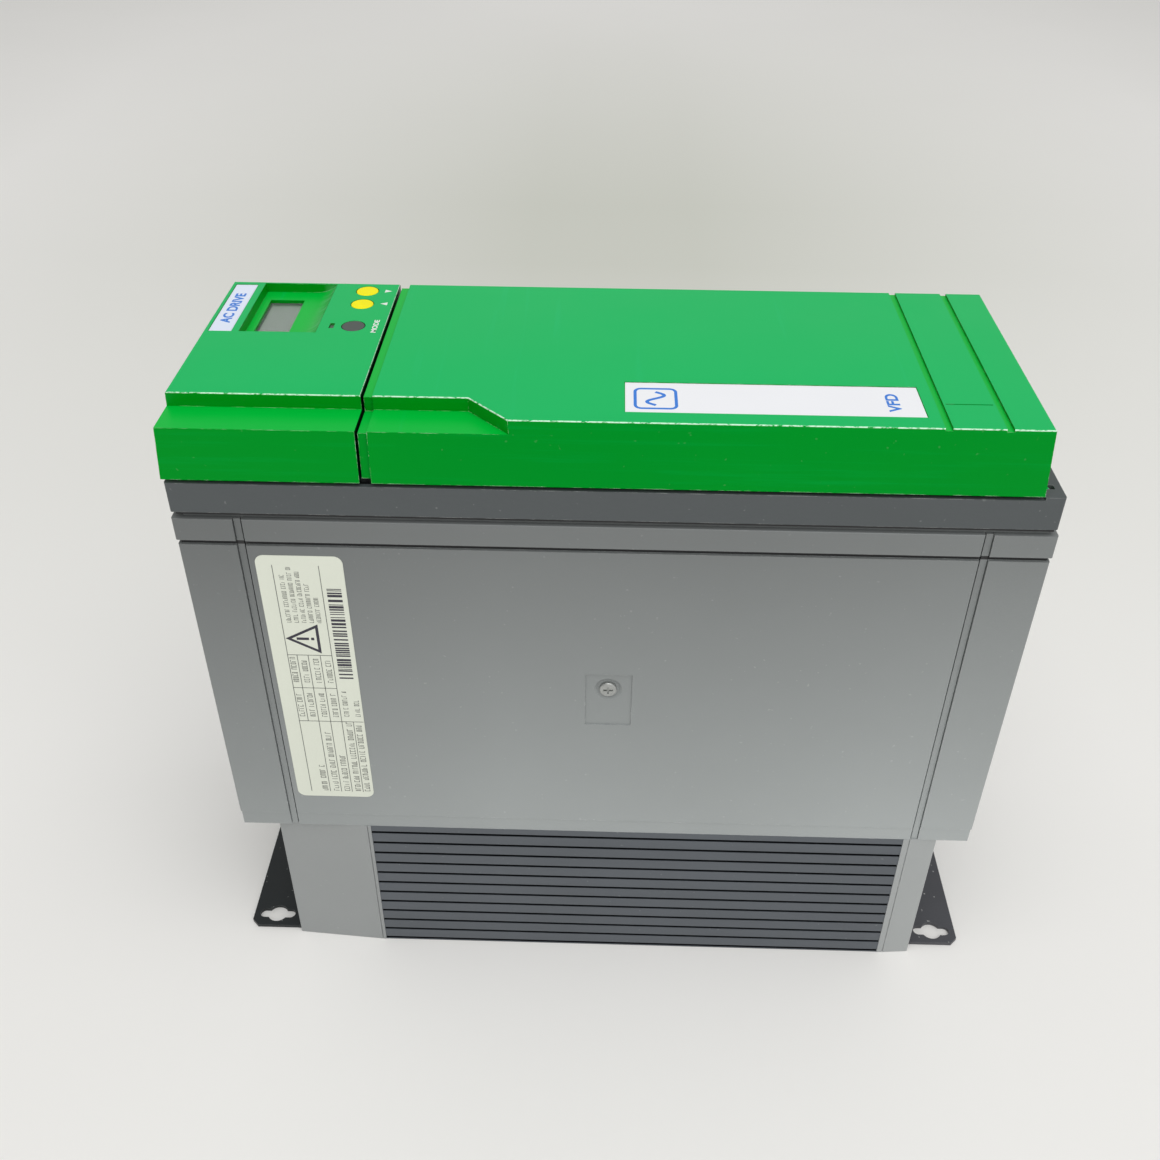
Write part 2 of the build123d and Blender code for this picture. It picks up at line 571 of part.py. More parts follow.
with BuildPart() as front_frame:
    block((FRAME_X0, FRAME_X1), (-HALF_W, HALF_W), (FRAME_Z0, FRAME_RIM))
    block((SHELF_X0, FRAME_X1), (-HALF_W, HALF_W), (FRAME_RIM, SHELF_TOP))
    fillet(front_frame.edges().filter_by(Axis.Z).group_by(Axis.X)[0], CORNER_R)
    fillet(front_frame.edges().filter_by(Axis.Z).group_by(Axis.X)[-1], CORNER_R)
    skirt_y = HALF_W - SKIRT_INSET
    block((FRAME_X0 + SKIRT_INSET, FRAME_IN_X + 0.5), (-skirt_y, skirt_y), (SKIRT_Z0, FRAME_Z0))
    block((-FRAME_IN_X, FRAME_IN_X), (-FRAME_IN_Y, FRAME_IN_Y), (SKIRT_Z0 - 1, SHELF_TOP + 1), Mode.SUBTRACT)
    block((-FRAME_IN_X - 0.2, FRAME_IN_X + 0.2), (-FRAME_IN_Y - 0.2, FRAME_IN_Y + 0.2), (CHASSIS_TOP, FLANGE_TOP))
    block((-173, WELL_X0 - 3), (-55, 55), (CHASSIS_TOP - 1, FLANGE_TOP + 1), Mode.SUBTRACT)
    block((WELL_X0 - 4, 174.0), (-60.3, 60.3), (CHASSIS_TOP - 1, FLANGE_TOP + 1), Mode.SUBTRACT)
    block((172, 180.8), (-55.8, 55.8), (CHASSIS_TOP - 1, FLANGE_TOP + 1), Mode.SUBTRACT)
    block((165.8, FRAME_IN_X + 0.2), (-FRAME_IN_Y - 0.2, FRAME_IN_Y + 0.2), (296.6, FRAME_RIM))
    block((SHELF_BLOCK_X, FRAME_IN_X + 0.2), (-FRAME_IN_Y - 0.2, FRAME_IN_Y + 0.2), (SHELF_BLOCK_Z, FRAME_RIM))
    block((SHELF_X0, FRAME_IN_X + 0.2), (-FRAME_IN_Y - 0.2, FRAME_IN_Y + 0.2), (FRAME_RIM, SHELF_TOP))
    block((-FRAME_IN_X - 1.2, -FRAME_IN_X - 0.2), (-RIB_Y[1], RIB_Y[1]), (FRAME_RIM, RIB_TOP))
    for y in (-EAR_Y, EAR_Y):
        block(EAR_SLOT_X, (y - EAR_SLOT_HALF, y + EAR_SLOT_HALF), (288, SHELF_TOP + 1), Mode.SUBTRACT)
        rod_y((PIN_X, PIN_Z), PIN_BORE_R, (y - PIN_HALF - 0.2, y + PIN_HALF + 0.2), Mode.SUBTRACT)
    for centre in CORNER_POSTS:
        post(centre, FRAME_SCREW_R + TOUCH, (CHASSIS_TOP - 1, FLANGE_TOP + 1), Mode.SUBTRACT)
save(front_frame, "front_frame")

# ---------------------------------------------------------------- terminal tray with its well
CONTROL_ROWS = (-38.0, -16.0)
CONTROL_X = (-92.0, -10.7)
SERIAL_X = (14.0, 45.0)
SERIAL_Y = (-36.0, -23.5)
WELL_HALF_Y = 58.0
BUSBAR_YS = [-45.5 + 13 * i for i in range(8)]
BUSBAR_X = 104.0

with BuildPart() as terminal_tray:
    block((-182.8, 182.8), (-64.3, 64.3), (FLANGE_TOP, TRAY_TOP))
    block((WELL_X0 - 2, 180.4), (-WELL_HALF_Y - 2, WELL_HALF_Y + 2), (WELL_FLOOR - 2, FLANGE_TOP))
    for x, y in CORNER_POSTS:
        clear = POST_HALF + 0.4
        block((x - clear, x + clear), (y - clear, y + clear), (WELL_FLOOR - 3, FLANGE_TOP), Mode.SUBTRACT)
        post((x, y), FRAME_SCREW_R + TOUCH, (FLANGE_TOP - 1, TRAY_TOP + 1), Mode.SUBTRACT)
    block((WELL_X0, 181), (-54, 54), (WELL_FLOOR, TRAY_TOP + 1), Mode.SUBTRACT)
    block((WELL_X0, 171.5), (-WELL_HALF_Y, WELL_HALF_Y), (WELL_FLOOR, TRAY_TOP + 1), Mode.SUBTRACT)
    for y in CONTROL_ROWS:
        block((CONTROL_X[0] - 0.5, CONTROL_X[1] + 0.5), (y - 5.5, y + 5.5), (280, 290), Mode.SUBTRACT)
    block((SERIAL_X[0] - 0.5, SERIAL_X[1] + 0.5), (SERIAL_Y[0] - 0.5, SERIAL_Y[1] + 0.5), (280, 290), Mode.SUBTRACT)
    for y in BUSBAR_YS:
        block((BUSBAR_X - 1.5, BUSBAR_X + 1.5), (y - 3.5, y + 3.5), (WELL_FLOOR - 3, WELL_FLOOR + 1), Mode.SUBTRACT)
    for side in (-1, 1):
        rib_y = sorted((side * RIB_Y[0], side * RIB_Y[1]))
        block((-173.8, 165.3), rib_y, (TRAY_TOP, RIB_TOP))
        block((SEAM_KEYPAD_X - 3.7, SEAM_KEYPAD_X + 0.6), rib_y, (COVER_BOTTOM - 0.3, RIB_TOP + 1), Mode.SUBTRACT)
save(terminal_tray, "terminal_tray")

with BuildPart() as frame_screws:
    for x, y in CORNER_POSTS:
        add(pan_screw(3.2, 2.0, FRAME_SCREW_R, 18).moved(Location((x, y, TRAY_TOP))))
save(frame_screws, "frame_screws")


# ---------------------------------------------------------------- green front mouldings
def green_shell(x0, x1, x0_flare, x1_flare, inset):
    """The drafted outer (inset 0) or inner (inset GREEN_WALL) volume of a front moulding."""
    bottom = COVER_BOTTOM - (1 if inset else 0)
    top = COVER_TOP - inset
    with BuildPart() as shell:
        for z, flare in ((bottom, GREEN_FLARE), (top, 0)):
            with BuildSketch(Plane.XY.offset(z)):
                low, high = x0 - x0_flare * flare, x1 + x1_flare * flare
                with Locations(((low + high) / 2, 0)):
                    Rectangle(high - low, 2 * (GREEN_HALF_W + flare - inset))
        loft()
    return shell.part


def ledge_cut(points, inset):
    """The stepped-down finger ledge along the front long edge, as a volume to take away."""
    with BuildPart() as ledge:
        with BuildSketch(Plane.XY.offset(LEDGE_TOP - inset)):
            with BuildLine():
                Polyline(*points, close=True)
            make_face()
        extrude(amount=COVER_TOP - LEDGE_TOP + 5)
    return ledge.part


NOTCH_X0 = -61.0
NOTCH_X1 = -39.1
NOTCH_Y = -70.0
cover_ledge = [(-120, NOTCH_Y), (-120, LEDGE_Y), (NOTCH_X0, LEDGE_Y), (NOTCH_X1, NOTCH_Y)]
cover_ledge_inner = [
    (-120, NOTCH_Y),
    (-120, LEDGE_Y + GREEN_WALL),
    (NOTCH_X0 + 1.2, LEDGE_Y + GREEN_WALL),
    (NOTCH_X1 + 4.2, NOTCH_Y),
]
COVER_GROOVES = ((130.1, 133.2), (154.4, 157.4))
COVER_LABEL_X = (3.1, 125.0)
COVER_LABEL_Y = (-57.0, -31.1)
LABEL_RECESS = 0.5

with BuildPart() as cover_cavity:
    add(green_shell(SEAM_COVER_X - 1, GREEN_X1 - GREEN_WALL, 0, 1, GREEN_WALL))
    add(ledge_cut(cover_ledge_inner, GREEN_WALL), mode=Mode.SUBTRACT)

with BuildPart() as terminal_cover:
    add(green_shell(SEAM_COVER_X + COLLAR, GREEN_X1, 0, 1, 0))
    add(ledge_cut(cover_ledge, 0), mode=Mode.SUBTRACT)
    top_edges = terminal_cover.faces().sort_by(Axis.Z)[-1].edges()
    fillet(top_edges.filter_by(lambda edge: edge.center().X > SEAM_COVER_X + COLLAR + 0.5), 0.7)
    with BuildSketch(Plane.YZ.offset(SEAM_COVER_X)):
        with BuildLine():
            Polyline(
                (-HALF_W, COVER_BOTTOM),
                (-GREEN_HALF_W - 0.4, LEDGE_TOP),
                (LEDGE_Y, LEDGE_TOP),
                (LEDGE_Y, COVER_TOP),
                (GREEN_HALF_W, COVER_TOP),
                (HALF_W, COVER_BOTTOM),
                close=True,
            )
        make_face()
        offset(amount=-COLLAR_INSET, kind=Kind.INTERSECTION, mode=Mode.REPLACE)
    extrude(amount=COLLAR)
    add(cover_cavity.part, mode=Mode.SUBTRACT)
    for groove in COVER_GROOVES:
        block(groove, (-HALF_W, HALF_W), (COVER_TOP - 1.2, COVER_TOP + 1), Mode.SUBTRACT)
    block((134.1, 153.4), (-45.8, -45.2), (COVER_TOP - 0.5, COVER_TOP + 1), Mode.SUBTRACT)
    block(COVER_LABEL_X, COVER_LABEL_Y, (COVER_TOP - LABEL_RECESS, COVER_TOP + 1), Mode.SUBTRACT)
    for y in (-EAR_Y, EAR_Y):
        with BuildSketch(Plane.XZ.offset(-y - EAR_T / 2)):
            with BuildLine():
                Polyline(
                    (168.7, 312), (168.7, 296.4), (PIN_X, 296.4), (PIN_X, 299.6), (173.9, 299.6), (173.9, 302),
                    (172.2, 312), close=True,
                )
            make_face()
            with Locations((PIN_X, PIN_Z)):
                Circle(1.6)
        extrude(amount=EAR_T)
        rod_y((PIN_X, PIN_Z), PIN_R, (y - PIN_HALF, y + PIN_HALF))
    for side in (-1, 1):
        tab_y = sorted((side * 62.0, side * 64.2))
        block((-88, -72), tab_y, (TRAY_TOP + 0.3, 306))
save(terminal_cover, "terminal_cover")

with BuildPart() as cover_label:
    x0, x1 = COVER_LABEL_X
    y0, y1 = COVER_LABEL_Y
    floor = COVER_TOP - LABEL_RECESS
    block((x0 + 0.3, x1 - 0.3), (y0 + 0.3, y1 - 0.3), (floor, floor + LABEL_T))
save(cover_label, "cover_label")

# ---------------------------------------------------------------- keypad and display
POCKET_X = (-170.4, -135.5)
POCKET_Y = (10.6, 64.0)
POCKET_FLOOR = 326.6
POCKET_FLOOR_X = (-170.0, -145.6)
POCKET_FLOOR_T = 1.6
WINDOW_X = (-166.3, -150.1)
WINDOW_Y = (20.0, 54.5)
LABEL_X = (-184.3, -173.6)
LABEL_Y = (10.6, 62.3)
LED_X = -129.6
KEYPAD_BOSSES = [(x, y) for x in (-180.6, -111.4) for y in (-38.0, 5.0)]
PCB_EDGE = ((-183.0, -108.6), (-43.0, 61.8))

with BuildPart() as keypad_cavity:
    add(green_shell(GREEN_X0 + GREEN_WALL, SEAM_KEYPAD_X - GREEN_WALL, 1, 0, GREEN_WALL))
    keypad_ledge_inner = [
        (-200, NOTCH_Y), (-200, LEDGE_Y + GREEN_WALL), (-90, LEDGE_Y + GREEN_WALL), (-90, NOTCH_Y)
    ]
    add(ledge_cut(keypad_ledge_inner, GREEN_WALL), mode=Mode.SUBTRACT)

with BuildPart() as display_pocket:
    with BuildSketch(Plane.XZ.offset(-POCKET_Y[0])):
        ramp = Vector(POCKET_FLOOR_X[1], POCKET_FLOOR)
        with BuildLine():
            floor_line = Line((POCKET_FLOOR_X[0], POCKET_FLOOR), (POCKET_FLOOR_X[1], POCKET_FLOOR))
            scoop = TangentArc(floor_line @ 1, (POCKET_X[1], COVER_TOP), tangent=(1, 0))
            Polyline(scoop @ 1, (POCKET_X[1], COVER_TOP + 2), (POCKET_X[0], COVER_TOP + 2),
                     (POCKET_X[0], COVER_TOP), floor_line @ 0)
        make_face()
    extrude(amount=-(POCKET_Y[1] - POCKET_Y[0]))

with BuildPart() as keypad_housing:
    add(green_shell(GREEN_X0, SEAM_KEYPAD_X, 1, 0, 0))
    keypad_ledge = [(-200, NOTCH_Y), (-200, LEDGE_Y), (-90, LEDGE_Y), (-90, NOTCH_Y)]
    add(ledge_cut(keypad_ledge, 0), mode=Mode.SUBTRACT)
    fillet(keypad_housing.faces().sort_by(Axis.Z)[-1].edges(), 0.7)
    add(keypad_cavity.part, mode=Mode.SUBTRACT)
    under_x = (POCKET_FLOOR_X[0] - 3.4, POCKET_X[1] + 2)
    block(under_x, (POCKET_Y[0] - 2, POCKET_Y[1] + 0.4), (POCKET_FLOOR - POCKET_FLOOR_T, COVER_TOP - 1))
    add(display_pocket.part, mode=Mode.SUBTRACT)
    block(WINDOW_X, WINDOW_Y, (POCKET_FLOOR - 3, POCKET_FLOOR + 1), Mode.SUBTRACT)
    for y in (UP_Y, DOWN_Y, MODE_Y):
        post((BUTTON_X, y), BUTTON_HOLE_R, (320, COVER_TOP + 1), Mode.SUBTRACT)
    block((LED_X - 1.1, LED_X + 1.1), (MODE_Y - 2.6, MODE_Y + 2.6), (320, COVER_TOP + 1), Mode.SUBTRACT)
    block(LABEL_X, LABEL_Y, (COVER_TOP - LABEL_RECESS, COVER_TOP + 1), Mode.SUBTRACT)
    for centre in KEYPAD_BOSSES:
        post(centre, 2.6, (KEYPAD_PCB_Z + PCB_T, COVER_TOP - 2))
        post(centre, 1.2, (KEYPAD_PCB_Z, KEYPAD_PCB_Z + PCB_T + 5), Mode.SUBTRACT)
    for side in (-1, 1):
        tab_y = sorted((side * 62.0, side * 64.5))
        for x in ((-172, -158), (-132, -116)):
            block(x, tab_y, (TRAY_TOP, 306))
        block((-182, -173.5), tab_y, (FRAME_RIM - 1, 306))
save(keypad_housing, "keypad_housing")

with BuildPart() as keypad_label:
    floor = COVER_TOP - LABEL_RECESS
    block((LABEL_X[0] + 0.25, LABEL_X[1] - 0.25), (LABEL_Y[0] + 0.25, LABEL_Y[1] - 0.25), (floor, floor + LABEL_T))
save(keypad_label, "keypad_label")

WINDOW_Z = POCKET_FLOOR - POCKET_FLOOR_T
with BuildPart() as display_window:
    block((WINDOW_X[0] - 1.6, WINDOW_X[1] + 1.6), (WINDOW_Y[0] - 1.6, WINDOW_Y[1] + 1.6), (WINDOW_Z - 0.9, WINDOW_Z))
save(display_window, "display_window")

with BuildPart() as lcd_panel:
    block((-168.6, -147.8), (17.5, 57.0), (KEYPAD_PCB_Z + PCB_T, WINDOW_Z - 1.0))
save(lcd_panel, "lcd_panel")


def button(label, y):
    """Round push button: cap in the housing's hole, two retaining wings and a stem over its switch."""
    with BuildPart() as key:
        post((BUTTON_X, y), BUTTON_R, (325.5, COVER_TOP + 0.1))
        fillet(key.edges().group_by(Axis.Z)[-1], 0.45)
        wing = (BUTTON_X - BUTTON_R - 1.1, BUTTON_X + BUTTON_R + 1.1)
        block(wing, (y - 2.5, y + 2.5), (325.5, COVER_TOP - GREEN_WALL - 0.35))
        post((BUTTON_X, y), 2.2, (322.0, 326.0))
    save(key, label)


button("up_button", UP_Y)
button("down_button", DOWN_Y)
button("mode_button", MODE_Y)

with BuildPart() as status_led:
    block((LED_X - 1, LED_X + 1), (MODE_Y - 2.5, MODE_Y + 2.5), (KEYPAD_PCB_Z + PCB_T, COVER_TOP - 0.7))
save(status_led, "status_led")

with BuildPart() as keypad_pcb:
    block(*PCB_EDGE, (KEYPAD_PCB_Z, KEYPAD_PCB_Z + PCB_T))
    for centre in KEYPAD_BOSSES:
        post(centre, 1.3, (KEYPAD_PCB_Z - 1, KEYPAD_PCB_Z + PCB_T + 1), Mode.SUBTRACT)
save(keypad_pcb, "keypad_pcb")

with BuildPart() as tactile_switches:
    for y in (UP_Y, DOWN_Y, MODE_Y):
        block((BUTTON_X - 3, BUTTON_X + 3), (y - 3, y + 3), (KEYPAD_PCB_Z + PCB_T, 320.1))
        post((BUTTON_X, y), 1.7, (320.1, 321.0))
save(tactile_switches, "tactile_switches")

with BuildPart() as keypad_screws:
    for x, y in KEYPAD_BOSSES:
        add(pan_screw(2.4, 1.4, 1.15, 6).moved(Location((x, y, KEYPAD_PCB_Z), (180, 0, 0))))
save(keypad_screws, "keypad_screws")

# ---------------------------------------------------------------- terminals
CONTROL_PITCH = 5.08
CONTROL_WAYS = 16
CONTROL_TOP = 304.0
CONTROL_PCB_TOP = CONTROL_PCB_Z + PCB_T


def control_centres():
    """Plan positions of every control terminal screw."""
    start = CONTROL_X[0] + CONTROL_PITCH / 2
    return [(start + i * CONTROL_PITCH, y) for y in CONTROL_ROWS for i in range(CONTROL_WAYS)]


with BuildPart() as control_terminals:
    for y in CONTROL_ROWS:
        block(CONTROL_X, (y - 5, y + 5), (CONTROL_PCB_TOP, CONTROL_TOP))
        block((CONTROL_X[0] - 1, CONTROL_X[1] + 1), (y - 6, y - 3.4), (298.5, CONTROL_TOP + 1), Mode.SUBTRACT)
    for x, y in control_centres():
        block((x - 1.7, x + 1.7), (y - 6, y - 1.5), (291, 295.5), Mode.SUBTRACT)
        post((x, y + 0.6), 1.75, (299, CONTROL_TOP + 1), Mode.SUBTRACT)
save(control_terminals, "control_terminals")

with BuildPart() as control_terminal_screws:
    screw = slotted_screw(1.6, 1.8, 1.1, 0.5)
    for x, y in control_centres():
        add(screw.moved(Location((x, y + 0.6, 299.5))))
save(control_terminal_screws, "control_terminal_screws")

POWER_X = (92.0, 118.0)
POWER_HALF_Y = 52.0
POWER_TOP = 262.0
POWER_SCREW_X = 110.0
with BuildPart() as power_terminal_block:
    block(POWER_X, (-POWER_HALF_Y, POWER_HALF_Y), (WELL_FLOOR, POWER_TOP))
    for y in BUSBAR_YS:
        block((102, 119), (y - 5.2, y + 5.2), (252, POWER_TOP + 1), Mode.SUBTRACT)
        block((108, 119), (y - 4.2, y + 4.2), (238, 248.5), Mode.SUBTRACT)
save(power_terminal_block, "power_terminal_block")

with BuildPart() as power_terminal_screws:
    screw = slotted_screw(3.6, 2.8, 2.0, 0.6)
    for y in BUSBAR_YS:
        add(screw.moved(Location((POWER_SCREW_X, y, 252.6))))
save(power_terminal_screws, "power_terminal_screws")

with BuildPart() as terminal_busbars:
    for y in BUSBAR_YS:
        block((BUSBAR_X - 0.8, BUSBAR_X + 0.8), (y - 3, y + 3), (POWER_PCB_Z + PCB_T, WELL_FLOOR))
save(terminal_busbars, "terminal_busbars")

EARTH_X = (160.0, 170.0)
EARTH_YS = [-42.0 + 21 * i for i in range(5)]
with BuildPart() as earth_bar:
    block(EARTH_X, (-50, 50), (WELL_FLOOR, WELL_FLOOR + 4))
    fillet(earth_bar.edges().filter_by(Axis.Z), 1.5)
save(earth_bar, "earth_bar")

with BuildPart() as earth_screws:
    screw = pan_screw(3.6, 2.6, 2.0, 0.5)
    for y in EARTH_YS:
        add(screw.moved(Location((165, y, WELL_FLOOR + 4.5))))
save(earth_screws, "earth_screws")

with BuildPart() as serial_connector:
    block(SERIAL_X, SERIAL_Y, (CONTROL_PCB_TOP, 288.4))
    with BuildSketch(Plane.XY.offset(288.4)):
        centre_x, centre_y = sum(SERIAL_X) / 2, sum(SERIAL_Y) / 2
        with Locations((centre_x, centre_y)):
            Trapezoid(19.0, 8.6, 80)
            Trapezoid(17.4, 7.0, 80, mode=Mode.SUBTRACT)
    extrude(amount=6)
save(serial_connector, "serial_connector")

# ---------------------------------------------------------------- boards and power parts inside the chassis
CONTROL_PCB_EDGE = ((-100.0, 80.0), (-56.0, 56.0))
CONTROL_POSTS = [(x, y) for x in (-95.0, 75.0) for y in (-51.0, 51.0)]
POWER_PCB_EDGE = ((-140.0, 140.0), (-58.0, 58.0))
POWER_POSTS = [(x, y) for x in (-134.0, 134.0) for y in (-53.0, 53.0)]

with BuildPart() as control_pcb:
    block(*CONTROL_PCB_EDGE, (CONTROL_PCB_Z, CONTROL_PCB_TOP))
    for centre in CONTROL_POSTS:
        post(centre, 1.6, (CONTROL_PCB_Z - 1, CONTROL_PCB_TOP + 1), Mode.SUBTRACT)
save(control_pcb, "control_pcb")

with BuildPart() as control_processor:
    block((-30, -4), (14, 40), (CONTROL_PCB_TOP, CONTROL_PCB_TOP + 3.2))
    block((10, 24), (20, 44), (CONTROL_PCB_TOP, CONTROL_PCB_TOP + 3.2))
    block((34, 48), (20, 44), (CONTROL_PCB_TOP, CONTROL_PCB_TOP + 3.2))
save(control_processor, "control_chips")

with BuildPart() as pcb_spacers:
    for centre in CONTROL_POSTS:
        post(centre, 3.0, (CONTROL_PCB_TOP, FLANGE_TOP))
        post(centre, 1.5, (CONTROL_PCB_Z, CONTROL_PCB_TOP))
    for centre in POWER_POSTS:
        post(centre, 3.5, (CASE_BOTTOM + 2.5, POWER_PCB_Z))
        post(centre, 1.5, (POWER_PCB_Z, POWER_PCB_Z + PCB_T))
save(pcb_spacers, "pcb_spacers")

with BuildPart() as power_pcb:
    block(*POWER_PCB_EDGE, (POWER_PCB_Z, POWER_PCB_Z + PCB_T))
    for centre in POWER_POSTS:
        post(centre, 1.6, (POWER_PCB_Z - 1, POWER_PCB_Z + PCB_T + 1), Mode.SUBTRACT)
save(power_pcb, "power_pcb")


def power_module(label, extent, terminals):
    """Flat module bolted to the heatsink, with a row of terminal posts up to the power board."""
    (x0, x1), (y0, y1), (z0, z1) = extent
    with BuildPart() as module:
        block((x0, x1), (y0, y1), (z0, z1))
        fillet(module.edges().filter_by(Axis.Z), 2)
        step = (x1 - x0 - 20) / (terminals - 1)
        for i in range(terminals):
            x = x0 + 10 + i * step
            block((x - 2.5, x + 2.5), (y0 + 5, y0 + 12), (z1, POWER_PCB_Z))
    save(module, label)


power_module("igbt_module", IGBT, 6)
power_module("rectifier_module", RECTIFIER, 5)

CAPACITORS = [(-60.0 + 44 * i, y) for i in range(3) for y in (-24.0, 24.0)]
BOARD_TOP = POWER_PCB_Z + PCB_T
with BuildPart() as bus_capacitors:
    for centre in CAPACITORS:
        post(centre, 17.5, (BOARD_TOP, BOARD_TOP + 82))
    fillet(bus_capacitors.edges().group_by(Axis.Z)[-1], 1.6)
save(bus_capacitors, "bus_capacitors")

CHOKE_X = (-132.0, -92.0)
with BuildPart() as choke_core:
    block(CHOKE_X, (-32, 32), (BOARD_TOP + 4, BOARD_TOP + 60))
    for y in ((-20, -5), (5, 20)):
        block((CHOKE_X[0] - 1, CHOKE_X[1] + 1), y, (BOARD_TOP + 16, BOARD_TOP + 48), Mode.SUBTRACT)
save(choke_core, "choke_core")

with BuildPart() as choke_winding:
    block((CHOKE_X[0] - 7, CHOKE_X[1] + 7), (-19.6, 19.6), (BOARD_TOP + 16.4, BOARD_TOP + 47.6))
    fillet(choke_winding.edges().filter_by(Axis.Z), 6)
    block((CHOKE_X[0] - 0.4, CHOKE_X[1] + 0.4), (-5.4, 5.4), (BOARD_TOP + 15, BOARD_TOP + 49), Mode.SUBTRACT)
save(choke_winding, "choke_winding")

with BuildPart() as choke_feet:
    for y in (-26, 26):
        block((CHOKE_X[0] + 2, CHOKE_X[1] - 2), (y - 5, y + 5), (BOARD_TOP, BOARD_TOP + 4))
save(choke_feet, "choke_feet")

SENSOR_YS = (-39.0, -13.0, 13.0)
with BuildPart() as current_sensors:
    for y in SENSOR_YS:
        block((114, 134), (y - 9, y + 9), (BOARD_TOP, BOARD_TOP + 22))
        rod_x((y, BOARD_TOP + 13), 4, (113, 135), Mode.SUBTRACT)
save(current_sensors, "current_sensors")

with BuildPart() as supply_transformer:
    block((66, 92), (-54, -28), (BOARD_TOP, BOARD_TOP + 24))
    fillet(supply_transformer.edges().filter_by(Axis.Z), 2)
save(supply_transformer, "supply_transformer")

with BuildPart() as precharge_relays:
    for y in (-10, 14):
        block((64, 93), (y - 6.5, y + 6.5), (BOARD_TOP, BOARD_TOP + 16))
save(precharge_relays, "precharge_relays")

RIBBON_X = -84.0
RIBBON_T = 1.0
with BuildPart() as ribbon_cable:
    with BuildSketch(Plane.XZ.offset(-44)):
        with BuildLine() as path:
            FilletPolyline(
                (RIBBON_X, BOARD_TOP), (RIBBON_X, 190), (RIBBON_X - 10, 210), (RIBBON_X - 10, 230),
                (RIBBON_X - 3, 248), (RIBBON_X - 3, CONTROL_PCB_Z), radius=7,
            )
        trace(line_width=RIBBON_T)
    extrude(amount=-10)
save(ribbon_cable, "ribbon_cable")
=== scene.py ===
import math
import random

import bmesh
import bpy
from mathutils import Matrix, Vector


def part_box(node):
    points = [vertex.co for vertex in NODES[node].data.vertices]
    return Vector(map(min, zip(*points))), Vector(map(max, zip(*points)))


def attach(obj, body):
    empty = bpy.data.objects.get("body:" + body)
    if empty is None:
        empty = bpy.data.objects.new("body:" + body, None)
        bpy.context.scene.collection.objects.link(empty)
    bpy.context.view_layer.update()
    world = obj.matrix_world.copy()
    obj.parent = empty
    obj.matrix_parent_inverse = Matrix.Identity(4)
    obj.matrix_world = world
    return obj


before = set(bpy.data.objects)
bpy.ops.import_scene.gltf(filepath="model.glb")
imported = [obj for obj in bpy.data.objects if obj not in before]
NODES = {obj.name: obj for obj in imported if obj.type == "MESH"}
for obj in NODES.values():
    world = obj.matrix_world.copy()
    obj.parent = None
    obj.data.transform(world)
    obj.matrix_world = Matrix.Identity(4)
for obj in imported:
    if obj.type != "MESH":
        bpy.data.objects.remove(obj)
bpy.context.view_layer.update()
MM = 0.001

# ---------------------------------------------------------------- node helpers


def new_material(name):
    mat = bpy.data.materials.new(name)
    mat.use_nodes = True
    mat.node_tree.nodes.clear()
    return mat, mat.node_tree


def add_node(tree, kind, **props):
    node = tree.nodes.new(kind)
    for key, value in props.items():
        setattr(node, key, value)
    return node


def link(tree, a, b):
    tree.links.new(a, b)


def math_node(tree, op, a, b=None, clamp=False):
    node = add_node(tree, "ShaderNodeMath", operation=op, use_clamp=clamp)
    for i, value in enumerate((a, b)):
        if value is None:
            continue
        if isinstance(value, (int, float)):
            node.inputs[i].default_value = value
        else:
            link(tree, value, node.inputs[i])
    return node.outputs[0]


def product(tree, a, b):
    return math_node(tree, "MULTIPLY", a, b)


def ramp(tree, fac, low, high, a=0.0, b=1.0):
    """a where fac is low, b where it is high, straight between them and held outside."""
    node = add_node(tree, "ShaderNodeMapRange")
    node.inputs["From Min"].default_value = low
    node.inputs["From Max"].default_value = high
    node.inputs["To Min"].default_value = a
    node.inputs["To Max"].default_value = b
    link(tree, fac, node.inputs["Value"])
    return node.outputs[0]


def mix_colour(tree, fac, a, b):
    node = add_node(tree, "ShaderNodeMix", data_type="RGBA")
    for socket, value in ((node.inputs[0], fac), (node.inputs[6], a), (node.inputs[7], b)):
        if isinstance(value, (int, float)):
            socket.default_value = value
        elif isinstance(value, tuple):
            socket.default_value = (*value, 1.0)
        else:
            link(tree, value, socket)
    return node.outputs[2]


def noise(tree, vector, scale, detail=2.0, rough=0.5, stretch=None):
    if stretch is not None:
        mapping = add_node(tree, "ShaderNodeMapping")
        mapping.inputs["Scale"].default_value = stretch
        link(tree, vector, mapping.inputs["Vector"])
        vector = mapping.outputs[0]
    node = add_node(tree, "ShaderNodeTexNoise")
    node.inputs["Scale"].default_value = scale
    node.inputs["Detail"].default_value = detail
    node.inputs["Roughness"].default_value = rough
    link(tree, vector, node.inputs["Vector"])
    return node.outputs["Fac"]


def own_position(tree):
    """The object's own coordinates, in metres; they ride with a moving part."""
    return add_node(tree, "ShaderNodeTexCoord").outputs["Object"]


def axis(tree, socket_name, index):
    """One coordinate of the object's own position or normal, in metres."""
    split = add_node(tree, "ShaderNodeSeparateXYZ")
    link(tree, add_node(tree, "ShaderNodeTexCoord").outputs[socket_name], split.inputs[0])
    return split.outputs[index]


def band(tree, value, low, high, soft):
    """1 where value lies between low and high, falling to 0 over soft outside."""
    return product(tree, ramp(tree, value, low - soft, low), ramp(tree, value, high + soft, high))


def scaled(tree, tone, factor):
    node = add_node(tree, "ShaderNodeVectorMath", operation="SCALE")
    link(tree, tone, node.inputs[0])
    link(tree, factor, node.inputs["Scale"])
    return node.outputs[0]


def srgb(r, g, b):
    def lin(c):
        c /= 255.0
        return c / 12.92 if c <= 0.04045 else ((c + 0.055) / 1.055) ** 2.4

    return (lin(r), lin(g), lin(b))


